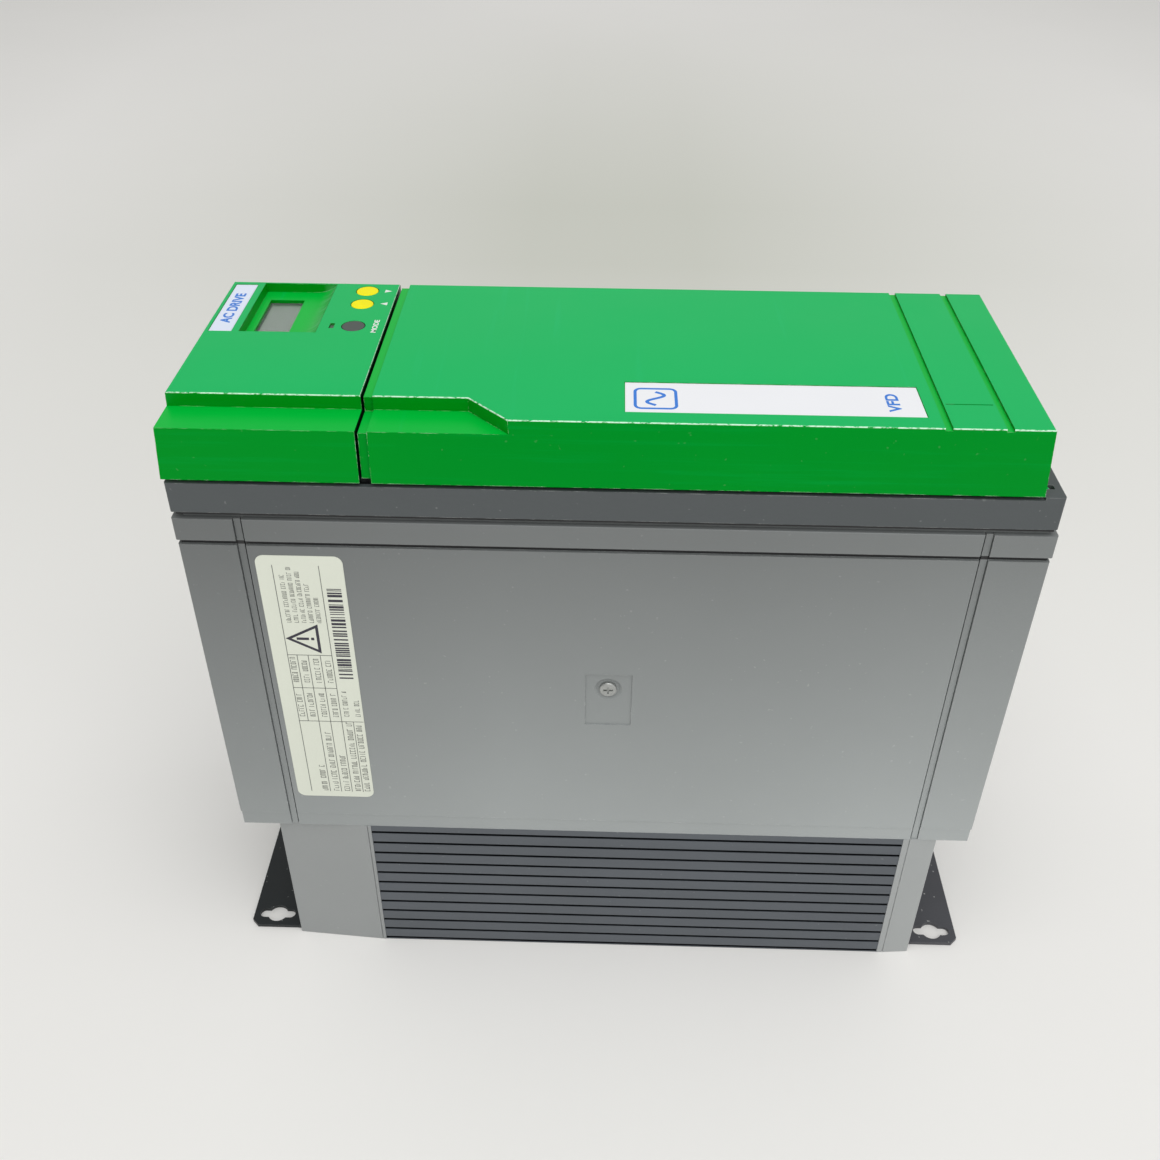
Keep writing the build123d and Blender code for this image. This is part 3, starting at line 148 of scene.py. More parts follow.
def shade(colour, k):
    return tuple(min(1.0, c * k) for c in colour)


# ---------------------------------------------------------------- surfaces

CLOUD_SPAN = (0.3, 0.7)  # noise levels between which the cloudy tone turns from dark to light
GRAIN_SPAN = (0.35, 0.65)
DUST_TONE = (0.75, 0.76, 0.74)
RIM_SPAN = (0.995, 0.86)  # cosine of the turn between the face and its softened edge
BUMP_HEIGHT = 0.0001
COAT_ROUGHNESS = 0.25


def edge_wear_and_light(tree, coord, tone, strength, radius, colour):
    """Chipped marks along the softened edges in the given colour: on the case, the heatsink and the green
    paint a painted highlight with edge wear, on the yellow buttons painted shade.
    """
    bevel = add_node(tree, "ShaderNodeBevel", samples=4)
    bevel.inputs["Radius"].default_value = radius
    geometry = add_node(tree, "ShaderNodeNewGeometry")
    dot = add_node(tree, "ShaderNodeVectorMath", operation="DOT_PRODUCT")
    link(tree, bevel.outputs[0], dot.inputs[0])
    link(tree, geometry.outputs["Normal"], dot.inputs[1])
    rim = ramp(tree, dot.outputs["Value"], *RIM_SPAN)
    chips_and_dashes = ramp(tree, noise(tree, coord, 320.0, 4.0, 0.75, stretch=(0.35, 1, 1)), 0.47, 0.62)
    wear_and_light = math_node(tree, "MULTIPLY", product(tree, rim, chips_and_dashes), strength, clamp=True)
    return mix_colour(tree, wear_and_light, tone, colour)


def moulded(name, colour, rough=0.5, grain=1400.0, grain_bump=0.15, vary=0.06, edge=0.0,
            edge_colour=(1, 1, 1), streaks=None, coat=0.0, metallic=0.0, spec=0.5, patch_scale=14.0,
            edge_radius=0.0006, specks=0.0, tint=(1, 1, 1), finish=None):
    """Moulded, painted or metal surface: cloudy tone, fine grain, and optional streaks, chipped edge marks and
    dust; the edge marks paint highlights and shade on some materials.

    finish, where given, takes the tree and the tone so far and returns the final tone.
    """
    mat, tree = new_material(name)
    out = add_node(tree, "ShaderNodeOutputMaterial")
    bsdf = add_node(tree, "ShaderNodeBsdfPrincipled")
    link(tree, bsdf.outputs[0], out.inputs[0])
    coord = own_position(tree)
    cloud = noise(tree, coord, patch_scale, 4.0, 0.6)
    grain_fac = noise(tree, coord, grain, 2.0, 0.6)
    tone = mix_colour(tree, ramp(tree, cloud, *CLOUD_SPAN), shade(colour, 1 - vary), shade(colour, 1 + vary))
    grain_mix = ramp(tree, grain_fac, *GRAIN_SPAN, 0.0, 0.5)
    tone = mix_colour(tree, grain_mix, tone, shade(colour, 1 - 1.2 * vary))
    height = grain_fac
    if streaks is not None:
        brushed = noise(tree, coord, 60.0, 3.0, 0.7, stretch=streaks)
        tone = mix_colour(tree, ramp(tree, brushed, 0.45, 0.75, 0.0, 0.35), tone, shade(colour, 1.25))
        height = math_node(tree, "ADD", height, brushed)
    if edge > 0:
        tone = edge_wear_and_light(tree, coord, tone, edge, edge_radius, edge_colour)
    if specks > 0:
        dust = ramp(tree, noise(tree, coord, 420.0, 1.0, 0.5), 0.74, 0.8, 0.0, specks)
        tone = mix_colour(tree, dust, tone, DUST_TONE)
    if finish is not None:
        tone = finish(tree, tone)
    link(tree, tone, bsdf.inputs["Base Color"])
    link(tree, ramp(tree, cloud, *CLOUD_SPAN, rough - 0.05, rough + 0.06), bsdf.inputs["Roughness"])
    bsdf.inputs["Metallic"].default_value = metallic
    bsdf.inputs["Specular IOR Level"].default_value = spec
    bsdf.inputs["Specular Tint"].default_value = (*tint, 1.0)
    if coat > 0:
        bsdf.inputs["Coat Weight"].default_value = coat
        bsdf.inputs["Coat Roughness"].default_value = COAT_ROUGHNESS
    bump = add_node(tree, "ShaderNodeBump")
    bump.inputs["Strength"].default_value = grain_bump
    bump.inputs["Distance"].default_value = BUMP_HEIGHT
    link(tree, height, bump.inputs["Height"])
    link(tree, bump.outputs[0], bsdf.inputs["Normal"])
    return mat


# painted light: the walls keep the base green, and faces turned up, the ledge among them, are painted paler as
# if lit from above
WALL_GREEN = (0.0, 0.262, 0.005)
LIT_TOP_GREEN = (0.0, 0.46, 0.105)
LIT_LEDGE_GREEN = (0.0, 0.47, 0.040)  # painted light on level faces below the front, such as the ledge
SCUFF_GREEN = (0.0, 0.38, 0.06)
RUBBED_GREEN = (0.01, 0.52, 0.20)
SLOPE_GREEN = (0.20, 0.60, 0.30)
# painted shade inside the parting gap
GAP_SHADE_GREEN = (0.0, 0.012, 0.004)
# painted highlight: glints along the rounded edges of the green paint
GLINT_HIGHLIGHT = (0.74, 0.97, 0.80)

# places on the green parts, in metres
FRONT_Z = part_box("keypad_housing")[1][2]
KEYPAD_END_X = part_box("keypad_housing")[1][0]
COVER_START_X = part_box("terminal_cover")[0][0]
SEAM_X = (KEYPAD_END_X - 0.0007, COVER_START_X + 0.0006)
POCKET_X = (-0.1704, -0.1355)
POCKET_Y = (0.0106, 0.0640)
SLOPE_X = (-0.1425, -0.1352)
LEDGE_Z = (0.3215, 0.3225)
SHARP = 0.0001  # how softly a change of tone starts


def green_finish(tree, tone):
    """Painted light on faces turned up (paler green, the ledge with its own tone), brushed scuffs on the
    walls, painted glints along rounded edges and painted shade in the parting gap.
    """
    coord = own_position(tree)
    x, y, z = [axis(tree, "Object", i) for i in range(3)]
    up = axis(tree, "Normal", 2)
    in_pocket = product(tree, band(tree, x, *POCKET_X, SHARP), band(tree, y, *POCKET_Y, SHARP))
    below_top = ramp(tree, z, FRONT_Z - 0.0002, FRONT_Z - 0.0006)

    # painted light: paler green on faces turned up, with the ledge's own tone
    cloud = noise(tree, coord, 10.0, 3.0, 0.5)
    top = mix_colour(tree, cloud, shade(LIT_TOP_GREEN, 0.96), shade(LIT_TOP_GREEN, 1.04))
    on_ledge = product(tree, below_top, ramp(tree, z, *LEDGE_Z))
    top = mix_colour(tree, on_ledge, top, LIT_LEDGE_GREEN)
    tone = mix_colour(tree, ramp(tree, up, 0.55, 0.95), tone, top)

    brushed = noise(tree, coord, 240.0, 4.0, 0.7, stretch=(0.03, 1, 1))
    on_wall = ramp(tree, up, 0.4, 0.2)
    scuffs = product(tree, ramp(tree, brushed, 0.52, 0.78, 0.0, 0.35), on_wall)
    tone = mix_colour(tree, scuffs, tone, SCUFF_GREEN)

    # painted highlight: broken glints along rounded edges, kept out of the pocket
    rounded = product(tree, band(tree, up, 0.25, 0.86, 0.04), ramp(tree, in_pocket, 0.5, 0.0))
    dashes = ramp(tree, noise(tree, coord, 900.0, 3.0, 0.75, stretch=(0.6, 1, 1)), 0.36, 0.52)
    painted_glints = product(tree, product(tree, rounded, dashes), 0.85)
    tone = mix_colour(tree, painted_glints, tone, GLINT_HIGHLIGHT)

    scratches = noise(tree, coord, 300.0, 2.0, 0.6, stretch=(0.5, 0.02, 1.0))
    rubbed = product(tree, ramp(tree, scratches, 0.64, 0.76, 0.0, 0.2), ramp(tree, up, 0.8, 0.95))
    tone = mix_colour(tree, rubbed, tone, RUBBED_GREEN)

    # paler streaks on the pocket's slope, brightening towards its top: worn streaks with a painted reflection
    wear_and_light = ramp(tree, noise(tree, coord, 700.0, 3.0, 0.6, stretch=(0.12, 1, 0.12)), 0.38, 0.62)
    slope = product(tree, product(tree, in_pocket, below_top), ramp(tree, x, *SLOPE_X))
    slope = product(tree, product(tree, slope, wear_and_light), 0.75)
    tone = mix_colour(tree, slope, tone, SLOPE_GREEN)

    # painted shade: near-black on the end walls inside the parting gap
    facing_x = math_node(tree, "ABSOLUTE", axis(tree, "Normal", 0))
    gap_shade = product(tree, band(tree, x, *SEAM_X, SHARP), ramp(tree, facing_x, 0.6, 0.9))
    return mix_colour(tree, gap_shade, tone, GAP_SHADE_GREEN)


RIB_FLOOR_Y = (0.0650, 0.0665)
# painted shade at the bottom of the heatsink's grooves
RIB_FLOOR_SHADE = (0.003, 0.004, 0.005)


def groove_shade_finish(tree, tone):
    """Painted shade: black at the bottom of the ribbed side's grooves."""
    depth = math_node(tree, "ABSOLUTE", axis(tree, "Object", 1))
    return mix_colour(tree, band(tree, depth, *RIB_FLOOR_Y, SHARP), tone, RIB_FLOOR_SHADE)


PANEL_CHANNEL = (0.2684, 0.2701)
FRAME_CHANNEL = (0.2825, 0.2849)
NO_CHANNEL = (-1.0, -0.9)
CHANNEL_Y = (0.0645, 0.0668)
# painted shade in the grooves
CHANNEL_SHADE = (0.008, 0.008, 0.009)
# painted light: heights and end reaches over which the tone is scaled
PAINTED_LIGHT_Z = (0.10, 0.275)
PAINTED_LIGHT_X = (0.05, 0.165)


def channel_finish(heights, top_lighting=1.0, bottom_lighting=1.0, left_lighting=1.0, right_lighting=1.0):
    """Painted light, scaling the tone by height and towards the ends of the case, and painted shade, black, in
    the grooves between two heights.
    """
    def finish(tree, tone):
        x, y, z = [axis(tree, "Object", i) for i in range(3)]
        near, far = PAINTED_LIGHT_X
        # painted light: the tone is scaled from top to bottom and towards each end
        tone = scaled(tree, tone, ramp(tree, z, *PAINTED_LIGHT_Z, bottom_lighting, top_lighting))
        tone = scaled(tree, tone, ramp(tree, x, -far, -near, left_lighting, 1.0))
        tone = scaled(tree, tone, ramp(tree, x, near, far, 1.0, right_lighting))
        # painted shade: black in the grooves between the given heights
        depth = math_node(tree, "ABSOLUTE", y)
        slot_shade = product(tree, band(tree, z, *heights, SHARP), band(tree, depth, *CHANNEL_Y, SHARP))
        return mix_colour(tree, slot_shade, tone, CHANNEL_SHADE)
    return finish


# ---------------------------------------------------------------- materials

# the green paint's pale edge colour is a painted highlight with edge wear
GREEN_PAINT = dict(rough=0.34, grain=2200, grain_bump=0.05, vary=0.05, edge=0.75, edge_colour=GLINT_HIGHLIGHT,
                   spec=0.35, patch_scale=9, specks=0.04, tint=(0.0, 1.0, 0.6), edge_radius=0.0004,
                   finish=green_finish)
green = moulded("green_paint", WALL_GREEN, **GREEN_PAINT)
green_cover = moulded("green_cover_paint", WALL_GREEN, **GREEN_PAINT)

# painted highlight: a pale line along the softened edges of the grey case, broken into chips
EDGE_HIGHLIGHT = srgb(205, 207, 206)
# painted light on the case: darker at the top, lighter towards the bottom, darker at the left end and lighter
# at the right
CASE_PAINTED_LIGHT = dict(top_lighting=0.70, bottom_lighting=1.46, left_lighting=0.84, right_lighting=1.14)
grey_panel = moulded("grey_panel_plastic", srgb(135, 139, 139), rough=0.5, grain=1800, grain_bump=0.3,
                     vary=0.03, edge=0.55, edge_colour=EDGE_HIGHLIGHT, specks=0.12, edge_radius=0.0004,
                     finish=channel_finish(PANEL_CHANNEL, **CASE_PAINTED_LIGHT))
grey_cover = moulded("grey_end_cover_plastic", srgb(134, 138, 138), rough=0.48, grain=1600, grain_bump=0.3,
                     vary=0.04, edge=0.55, edge_colour=EDGE_HIGHLIGHT, specks=0.1, edge_radius=0.0004,
                     finish=channel_finish(PANEL_CHANNEL, **CASE_PAINTED_LIGHT))
# the frame's paler edge colour is a painted highlight
grey_frame = moulded("grey_frame_plastic", srgb(75, 80, 82), rough=0.46, grain=1600, grain_bump=0.3,
                     vary=0.05, edge=0.7, edge_colour=srgb(180, 183, 182), specks=0.1, edge_radius=0.0004,
                     finish=channel_finish(FRAME_CHANNEL))
# painted light: the caps lighter towards the right end
grey_cap = moulded("grey_cap_plastic", srgb(150, 153, 153), rough=0.5, grain=1700, grain_bump=0.3, vary=0.04,
                   edge=0.45, edge_colour=EDGE_HIGHLIGHT, specks=0.08, edge_radius=0.0004,
                   finish=channel_finish(NO_CHANNEL, right_lighting=1.25))

# the heatsink's paler edge colour is a painted highlight along its ribs
sink_metal = moulded("heatsink_anodised", srgb(88, 93, 99), rough=0.42, grain=2600, grain_bump=0.25,
                     vary=0.08, metallic=0.2, streaks=(0.02, 1, 1), edge=0.35,
                     edge_colour=srgb(150, 154, 160), specks=0.12, edge_radius=0.0003, finish=groove_shade_finish)
black_steel = moulded("black_coated_steel", srgb(14, 22, 25), rough=0.42, grain=1500, grain_bump=0.5,
                      vary=0.1, edge=0.3, edge_colour=srgb(120, 124, 128), specks=0.35)
# painted light: a lighter copy of the black coated steel for the bottom bracket, with more dust specks
lit_dusty_steel = moulded("lit_dusty_coated_steel", srgb(70, 71, 76), rough=0.42, grain=1500, grain_bump=0.5,
                      vary=0.12, edge=0.3, edge_colour=srgb(130, 134, 138), specks=0.5)
zinc = moulded("zinc_plated_steel", srgb(186, 184, 176), rough=0.32, grain=1800, grain_bump=0.2, vary=0.12,
               metallic=0.95, streaks=(1, 1, 1), patch_scale=160)
screw_grey = moulded("panel_screw_steel", srgb(172, 174, 172), rough=0.38, grain=1800, grain_bump=0.2,
                     vary=0.15, metallic=0.8, patch_scale=300)
brass = moulded("plated_brass", srgb(196, 160, 92), rough=0.34, grain=1700, grain_bump=0.2, vary=0.1,
                metallic=0.95)
copper = moulded("tinned_copper", srgb(190, 128, 90), rough=0.36, grain=1700, grain_bump=0.2, vary=0.12,
                 metallic=0.95, patch_scale=60)

tray_black = moulded("black_moulding", srgb(42, 43, 45), rough=0.5, grain=1700, grain_bump=0.35, vary=0.1,
                     edge=0.2, edge_colour=srgb(110, 112, 114))
fan_black = moulded("fan_moulding", srgb(28, 28, 30), rough=0.38, grain=1500, grain_bump=0.15, vary=0.1)
# the darker edge colour on the yellow buttons is painted shade along the cap's rim
yellow = moulded("yellow_button", (0.95, 0.86, 0.0), rough=0.35, grain=2500, grain_bump=0.2, vary=0.05,
                 patch_scale=200, spec=0.2, tint=(1.0, 0.95, 0.0), edge=0.6, edge_colour=(0.45, 0.36, 0.0),
                 edge_radius=0.0003)
mode_rubber = moulded("mode_button_grey", srgb(72, 80, 76), rough=0.45, grain=2500, grain_bump=0.25,
                      vary=0.08, patch_scale=200)

board_green = moulded("solder_mask", srgb(20, 84, 50), rough=0.3, grain=900, grain_bump=0.2, vary=0.12,
                      coat=0.4, patch_scale=60)
terminal_green = moulded("terminal_green", srgb(34, 120, 78), rough=0.45, grain=1600, grain_bump=0.2,
                         vary=0.06)
terminal_grey = moulded("terminal_grey", srgb(70, 72, 74), rough=0.5, grain=1600, grain_bump=0.25, vary=0.06)
module_dark = moulded("module_case", srgb(50, 48, 46), rough=0.5, grain=1500, grain_bump=0.25, vary=0.08)
capacitor_blue = moulded("capacitor_sleeve", srgb(34, 46, 86), rough=0.3, grain=900, grain_bump=0.1,
                         vary=0.06)
core_steel = moulded("laminated_core", srgb(70, 72, 76), rough=0.5, grain=900, grain_bump=0.3, vary=0.1,
                     metallic=0.6, streaks=(30, 1, 0.2))
winding = moulded("enamelled_winding", srgb(150, 76, 34), rough=0.3, grain=900, grain_bump=0.3, vary=0.1,
                  metallic=0.5, streaks=(0.1, 0.1, 14))
ribbon = moulded("ribbon_grey", srgb(150, 152, 154), rough=0.45, grain=900, grain_bump=0.2, vary=0.06,
                 streaks=(1, 16, 1))

paper = moulded("label_film", srgb(238, 239, 243), rough=0.38, grain=1500, grain_bump=0.06, vary=0.012)
key_paper = moulded("keypad_label_film", srgb(224, 231, 247), rough=0.38, grain=1500, grain_bump=0.06,
                    vary=0.012)
plate_film = moulded("rating_film", srgb(222, 226, 212), rough=0.3, grain=1500, grain_bump=0.06, vary=0.02,
                     coat=0.2)
blue_ink = moulded("blue_print", srgb(44, 122, 216), rough=0.4, grain=1500, grain_bump=0.05, vary=0.05)
dark_ink = moulded("dark_print", srgb(46, 44, 58), rough=0.45, grain=1500, grain_bump=0.05, vary=0.12)
grey_ink = moulded("grey_print", srgb(106, 108, 104), rough=0.45, grain=1500, grain_bump=0.05, vary=0.12)
white_ink = moulded("white_print", srgb(232, 238, 232), rough=0.45, grain=1500, grain_bump=0.05, vary=0.03)

lcd_glass = moulded("lcd_grey", srgb(150, 162, 152), rough=0.2, grain=700, grain_bump=0.02, vary=0.05,
                    patch_scale=90, coat=0.5)
lcd_dark = moulded("lcd_bezel", srgb(34, 46, 42), rough=0.35, grain=1500, grain_bump=0.1, vary=0.08)
led_mat = moulded("status_light", srgb(66, 92, 70), rough=0.25, grain=1200, grain_bump=0.05, vary=0.08)


def clear_window(name):
    """Slightly cloudy clear plastic over the display."""
    mat, tree = new_material(name)
    out = add_node(tree, "ShaderNodeOutputMaterial")
    bsdf = add_node(tree, "ShaderNodeBsdfPrincipled")
    cloud = noise(tree, own_position(tree), 260, 3, 0.6)
    link(tree, mix_colour(tree, cloud, (0.8, 0.86, 0.82), (0.9, 0.94, 0.92)), bsdf.inputs["Base Color"])
    link(tree, ramp(tree, cloud, *CLOUD_SPAN, 0.06, 0.16), bsdf.inputs["Roughness"])
    bsdf.inputs["Transmission Weight"].default_value = 0.92
    bsdf.inputs["IOR"].default_value = 1.3
    link(tree, bsdf.outputs[0], out.inputs[0])
    return mat


window = clear_window("display_cover")

LOOKS = {
    "heatsink": sink_metal, "top_mounting_bracket": black_steel, "bottom_mounting_bracket": lit_dusty_steel,
    "bracket_screws": zinc, "fan_housing": grey_cap, "air_inlet_cap": grey_cap, "fan_frame": fan_black,
    "fan_impeller": fan_black, "fan_guard": zinc, "fan_screws": zinc, "chassis": grey_cover,
    "rear_side_panel": grey_panel, "front_side_panel": grey_panel, "side_panel_screws": screw_grey,
    "rating_plate": plate_film, "top_end_cover": grey_cover, "bottom_end_cover": grey_cover,
    "gland_plate": zinc, "gland_plate_screws": zinc, "front_frame": grey_frame, "terminal_tray": tray_black,
    "frame_screws": zinc, "terminal_cover": green_cover, "cover_label": paper, "keypad_housing": green,
    "keypad_label": key_paper, "display_window": window, "lcd_panel": lcd_glass, "up_button": yellow,
    "down_button": yellow, "mode_button": mode_rubber, "status_led": led_mat, "keypad_pcb": board_green,
    "tactile_switches": tray_black, "keypad_screws": zinc, "control_terminals": terminal_green,
    "control_terminal_screws": zinc, "power_terminal_block": terminal_grey, "power_terminal_screws": zinc,
    "terminal_busbars": copper, "earth_bar": brass, "earth_screws": zinc, "serial_connector": zinc,
    "control_pcb": board_green, "control_chips": module_dark, "pcb_spacers": zinc, "power_pcb": board_green,
    "igbt_module": module_dark, "rectifier_module": module_dark, "bus_capacitors": capacitor_blue,
    "choke_core": core_steel, "choke_winding": winding, "choke_feet": zinc, "current_sensors": module_dark,
    "supply_transformer": winding, "precharge_relays": capacitor_blue, "ribbon_cable": ribbon,
}
for node_name, obj in NODES.items():
    look = LOOKS[node_name]
    obj.data.materials.clear()
    obj.data.materials.append(look)
    for material_slot in obj.material_slots:
        material_slot.material = look

# ---------------------------------------------------------------- printed marks, in millimetres

LETTER_THICKNESS = 0.03
LETTER_LIFT = 0.02  # lettering stands this far off its face
MARK_THICKNESS = 0.04
CAP_HEIGHT = 0.7  # of the built-in typeface, per unit of its size


def mesh_object(name, verts, faces, mat, body):
    mesh = bpy.data.meshes.new(name)
    mesh.from_pydata([tuple(c * MM for c in v) for v in verts], [], faces)
    mesh.update()
    obj = bpy.data.objects.new(name, mesh)
    bpy.context.scene.collection.objects.link(obj)
    mesh.materials.append(mat)
    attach(obj, body)
    return obj


class Print:
    """Collects flat outlines in a plane and turns them into one thin solid; to_world maps (u, v, height)."""

    def __init__(self, to_world, thickness=0.05):
        self.to_world = to_world
        self.thickness = thickness
        self.verts = []
        self.faces = []

    def poly(self, points):
        base, n = len(self.verts), len(points)
        for height in (0.0, self.thickness):
            self.verts += [self.to_world(u, v, height) for u, v in points]
        self.faces.append([base + i for i in reversed(range(n))])
        self.faces.append([base + n + i for i in range(n)])
        for i in range(n):
            j = (i + 1) % n
            self.faces.append([base + i, base + j, base + n + j, base + n + i])

    def rect(self, u0, u1, v0, v1):
        self.poly([(u0, v0), (u1, v0), (u1, v1), (u0, v1)])

    def stroke(self, points, width, closed=False):
        """A mitred band along a line of points."""
        n = len(points)
        left, right = [], []
        for i in range(n):
            before = points[i - 1] if (i > 0 or closed) else None
            after = points[(i + 1) % n] if (i < n - 1 or closed) else None
            here = Vector(points[i])
            d0 = (here - Vector(before)).normalized() if before is not None else None
            d1 = (Vector(after) - here).normalized() if after is not None else None
            d0, d1 = d0 or d1, d1 or d0
            normal = Vector((-(d0 + d1).y, (d0 + d1).x)).normalized()
            reach = width / 2 / max(0.35, normal.dot(Vector((-d0.y, d0.x))))
            left.append(tuple(here + normal * reach))
            right.append(tuple(here - normal * reach))
        for i in range(n if closed else n - 1):
            j = (i + 1) % n
            self.poly([right[i], right[j], left[j], left[i]])

    def build(self, name, mat, body):
        obj = mesh_object(name, self.verts, self.faces, mat, body)
        bm = bmesh.new()
        bm.from_mesh(obj.data)
        bmesh.ops.recalc_face_normals(bm, faces=bm.faces)
        bm.to_mesh(obj.data)
        bm.free()
        return obj


def lettering(name, text, size, centre, mat, body, weight=0.0, width=1.0, line_pitch=None):
    """Flat lettering that faces +Z and reads along +Y; size is its cap height and centre its middle."""
    curve = bpy.data.curves.new(name, "FONT")
    curve.body = text
    curve.align_x, curve.align_y = "CENTER", "CENTER"
    curve.size = size * MM / CAP_HEIGHT
    if line_pitch is not None:
        curve.space_line = line_pitch * CAP_HEIGHT / size
    curve.offset = weight * MM
    curve.extrude = LETTER_THICKNESS * MM
    obj = bpy.data.objects.new(name, curve)
    obj.matrix_world = (
        Matrix.Translation(Vector(centre) * MM) @ Matrix.Rotation(math.radians(90), 4, "Z")
        @ Matrix.Diagonal((width, 1, 1, 1))
    )
    bpy.context.scene.collection.objects.link(obj)
    bpy.context.view_layer.update()
    mesh = bpy.data.meshes.new_from_object(obj.evaluated_get(bpy.context.evaluated_depsgraph_get()))
    mesh.transform(obj.matrix_world)
    bpy.data.objects.remove(obj)
    made = bpy.data.objects.new(name, mesh)
    bpy.context.scene.collection.objects.link(made)
    mesh.materials.clear()
    mesh.materials.append(mat)
    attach(made, body)
    return made


def top_of(node):
    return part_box(node)[1][2] / MM


def facing_up(z):
    """The place of a mark on a level face at height z."""
    def place(u, v, height):
        return (u, v, z + height)
    return place


# rating plate: u runs across the plate (+X), v up it (+Z), printed on the side panel's face
(plate_x0, plate_y0, plate_z0), (plate_x1, _, _) = [tuple(c / MM for c in p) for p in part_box("rating_plate")]
plate_w = plate_x1 - plate_x0


def on_plate(u, v, height):
    return (plate_x0 + u, plate_y0 - height, plate_z0 + v)


def greeked_line(sheet, u, v0, v1, size, rng):
    """A row of word-like strokes along +v, standing in for small print."""
    v = v0
    while v < v1:
        word_end = min(v1, v + rng.uniform(3, 8) * size * 0.55)
        while v < word_end:
            width = size * rng.uniform(0.28, 0.5)
            tall = rng.random() < 0.55
            sheet.rect(u - (size if tall else size * 0.75), u, v, v + size * 0.1)
            if rng.random() < 0.6:
                sheet.rect(u - size, u - size * 0.88, v, v + width)
            if rng.random() < 0.5:
                sheet.rect(u - size * 0.12, u, v, v + width)
            if rng.random() < 0.5:
                sheet.rect(u - size, u, v + width - size * 0.1, v + width)
            v += width + size * 0.2
        v += size * 0.5


grid = Print(on_plate)
small = Print(on_plate)
bold = Print(on_plate)
rng = random.Random(7)
LINE = 0.32
COL = [7.1, 11.4, 16.5, 22.1, 27.5, 33.0]
ROW_TOP, ROW_MID, ROW_LOW, FOOT, HEAD = 92.9, 72.8, 51.6, 3.6, 143.8


def ruled_up(u, v0, v1):
    grid.rect(u - LINE / 2, u + LINE / 2, v0, v1)


def ruled_across(v, u0, u1):
    grid.rect(u0, u1, v - LINE / 2, v + LINE / 2)


ruled_up(COL[0], FOOT, HEAD)
ruled_up(COL[4], FOOT, HEAD)
ruled_up(COL[1], ROW_LOW, ROW_TOP)
ruled_up(COL[2], FOOT, ROW_TOP)
ruled_up(COL[3], FOOT, ROW_TOP)
ruled_up(COL[5], FOOT, ROW_LOW)
ruled_across(ROW_TOP, COL[0], COL[4])
ruled_across(ROW_MID, COL[0], COL[4])
ruled_across(ROW_LOW, COL[0], plate_w - 0.3)

for column in COL[1:5]:
    greeked_line(small, column - 1.1, ROW_MID + 3.5, ROW_TOP - 2.5, 2.5, rng)
    greeked_line(small, column - 1.1, ROW_LOW + 3.0, ROW_MID - 3.5, 2.5, rng)
for column, reach in ((COL[2], 18), (COL[3], 40), (COL[4], 26), (COL[5], 47), (plate_w - 0.6, 46)):
    greeked_line(small, column - 1.0, FOOT + 0.6, FOOT + reach, 2.7, rng)
HEADING_START, HEADING_PITCH = 112, 3.4
for i, heading_end in enumerate((138, 143, 141, 134, 127)):
    greeked_line(small, COL[0] + 4.4 + i * HEADING_PITCH, HEADING_START, heading_end, 2.0, rng)
greeked_line(small, COL[4] + 4.0, ROW_LOW + 3.5, ROW_LOW + 19, 2.3, rng)
greeked_line(small, COL[4] + 9.4, ROW_LOW + 3.5, ROW_LOW + 14, 2.3, rng)

# plain triangle with a bar and a dot
bold.stroke([(8.9, 102.6), (22.4, 110.0), (22.4, 95.2)], 1.3, closed=True)
bold.rect(12.6, 18.2, 101.9, 103.3)
bold.rect(19.2, 20.6, 101.9, 103.3)

# block of bars of random widths and gaps
BARS_U = (29.5, 36.0)
BARS_END = ROW_LOW + 80
v = ROW_LOW + 27.4
while v < BARS_END:
    width = rng.choice((0.4, 0.4, 0.8, 0.8, 1.3))
    bold.rect(*BARS_U, v, v + width)
    v += width + rng.choice((0.45, 0.45, 0.8, 1.4))
grid.build("plate_grid", grey_ink, "drive")
small.build("plate_small_print", grey_ink, "drive")
bold.build("plate_symbols", dark_ink, "drive")

# keypad marks
KEY_TEXT_Z = top_of("keypad_label") + LETTER_LIFT
lettering("keypad_label_text", "AC DRIVE", 4.6, (-178.9, 35.8, KEY_TEXT_Z), blue_ink, "drive",
          weight=0.2, width=1.12)
HOUSING_TOP = top_of("keypad_housing")
lettering("mode_text", "MODE", 2.3, (-109.7, 18.0, HOUSING_TOP + LETTER_LIFT), white_ink, "drive",
          weight=0.09, width=1.42)

ARROW_LENGTH, ARROW_HALF_WIDTH = 3.3, 1.6
DOWN_ARROW = (-108.0, 56.9, 1)  # tip's place and the way it points along X
UP_ARROW = (-111.4, 42.5, -1)
marks = Print(facing_up(HOUSING_TOP), MARK_THICKNESS)
for tip_x, tip_y, way in (DOWN_ARROW, UP_ARROW):
    base_x = tip_x - way * ARROW_LENGTH
    marks.poly([(tip_x, tip_y), (base_x, tip_y + ARROW_HALF_WIDTH), (base_x, tip_y - ARROW_HALF_WIDTH)])
marks.build("key_arrows", white_ink, "drive")

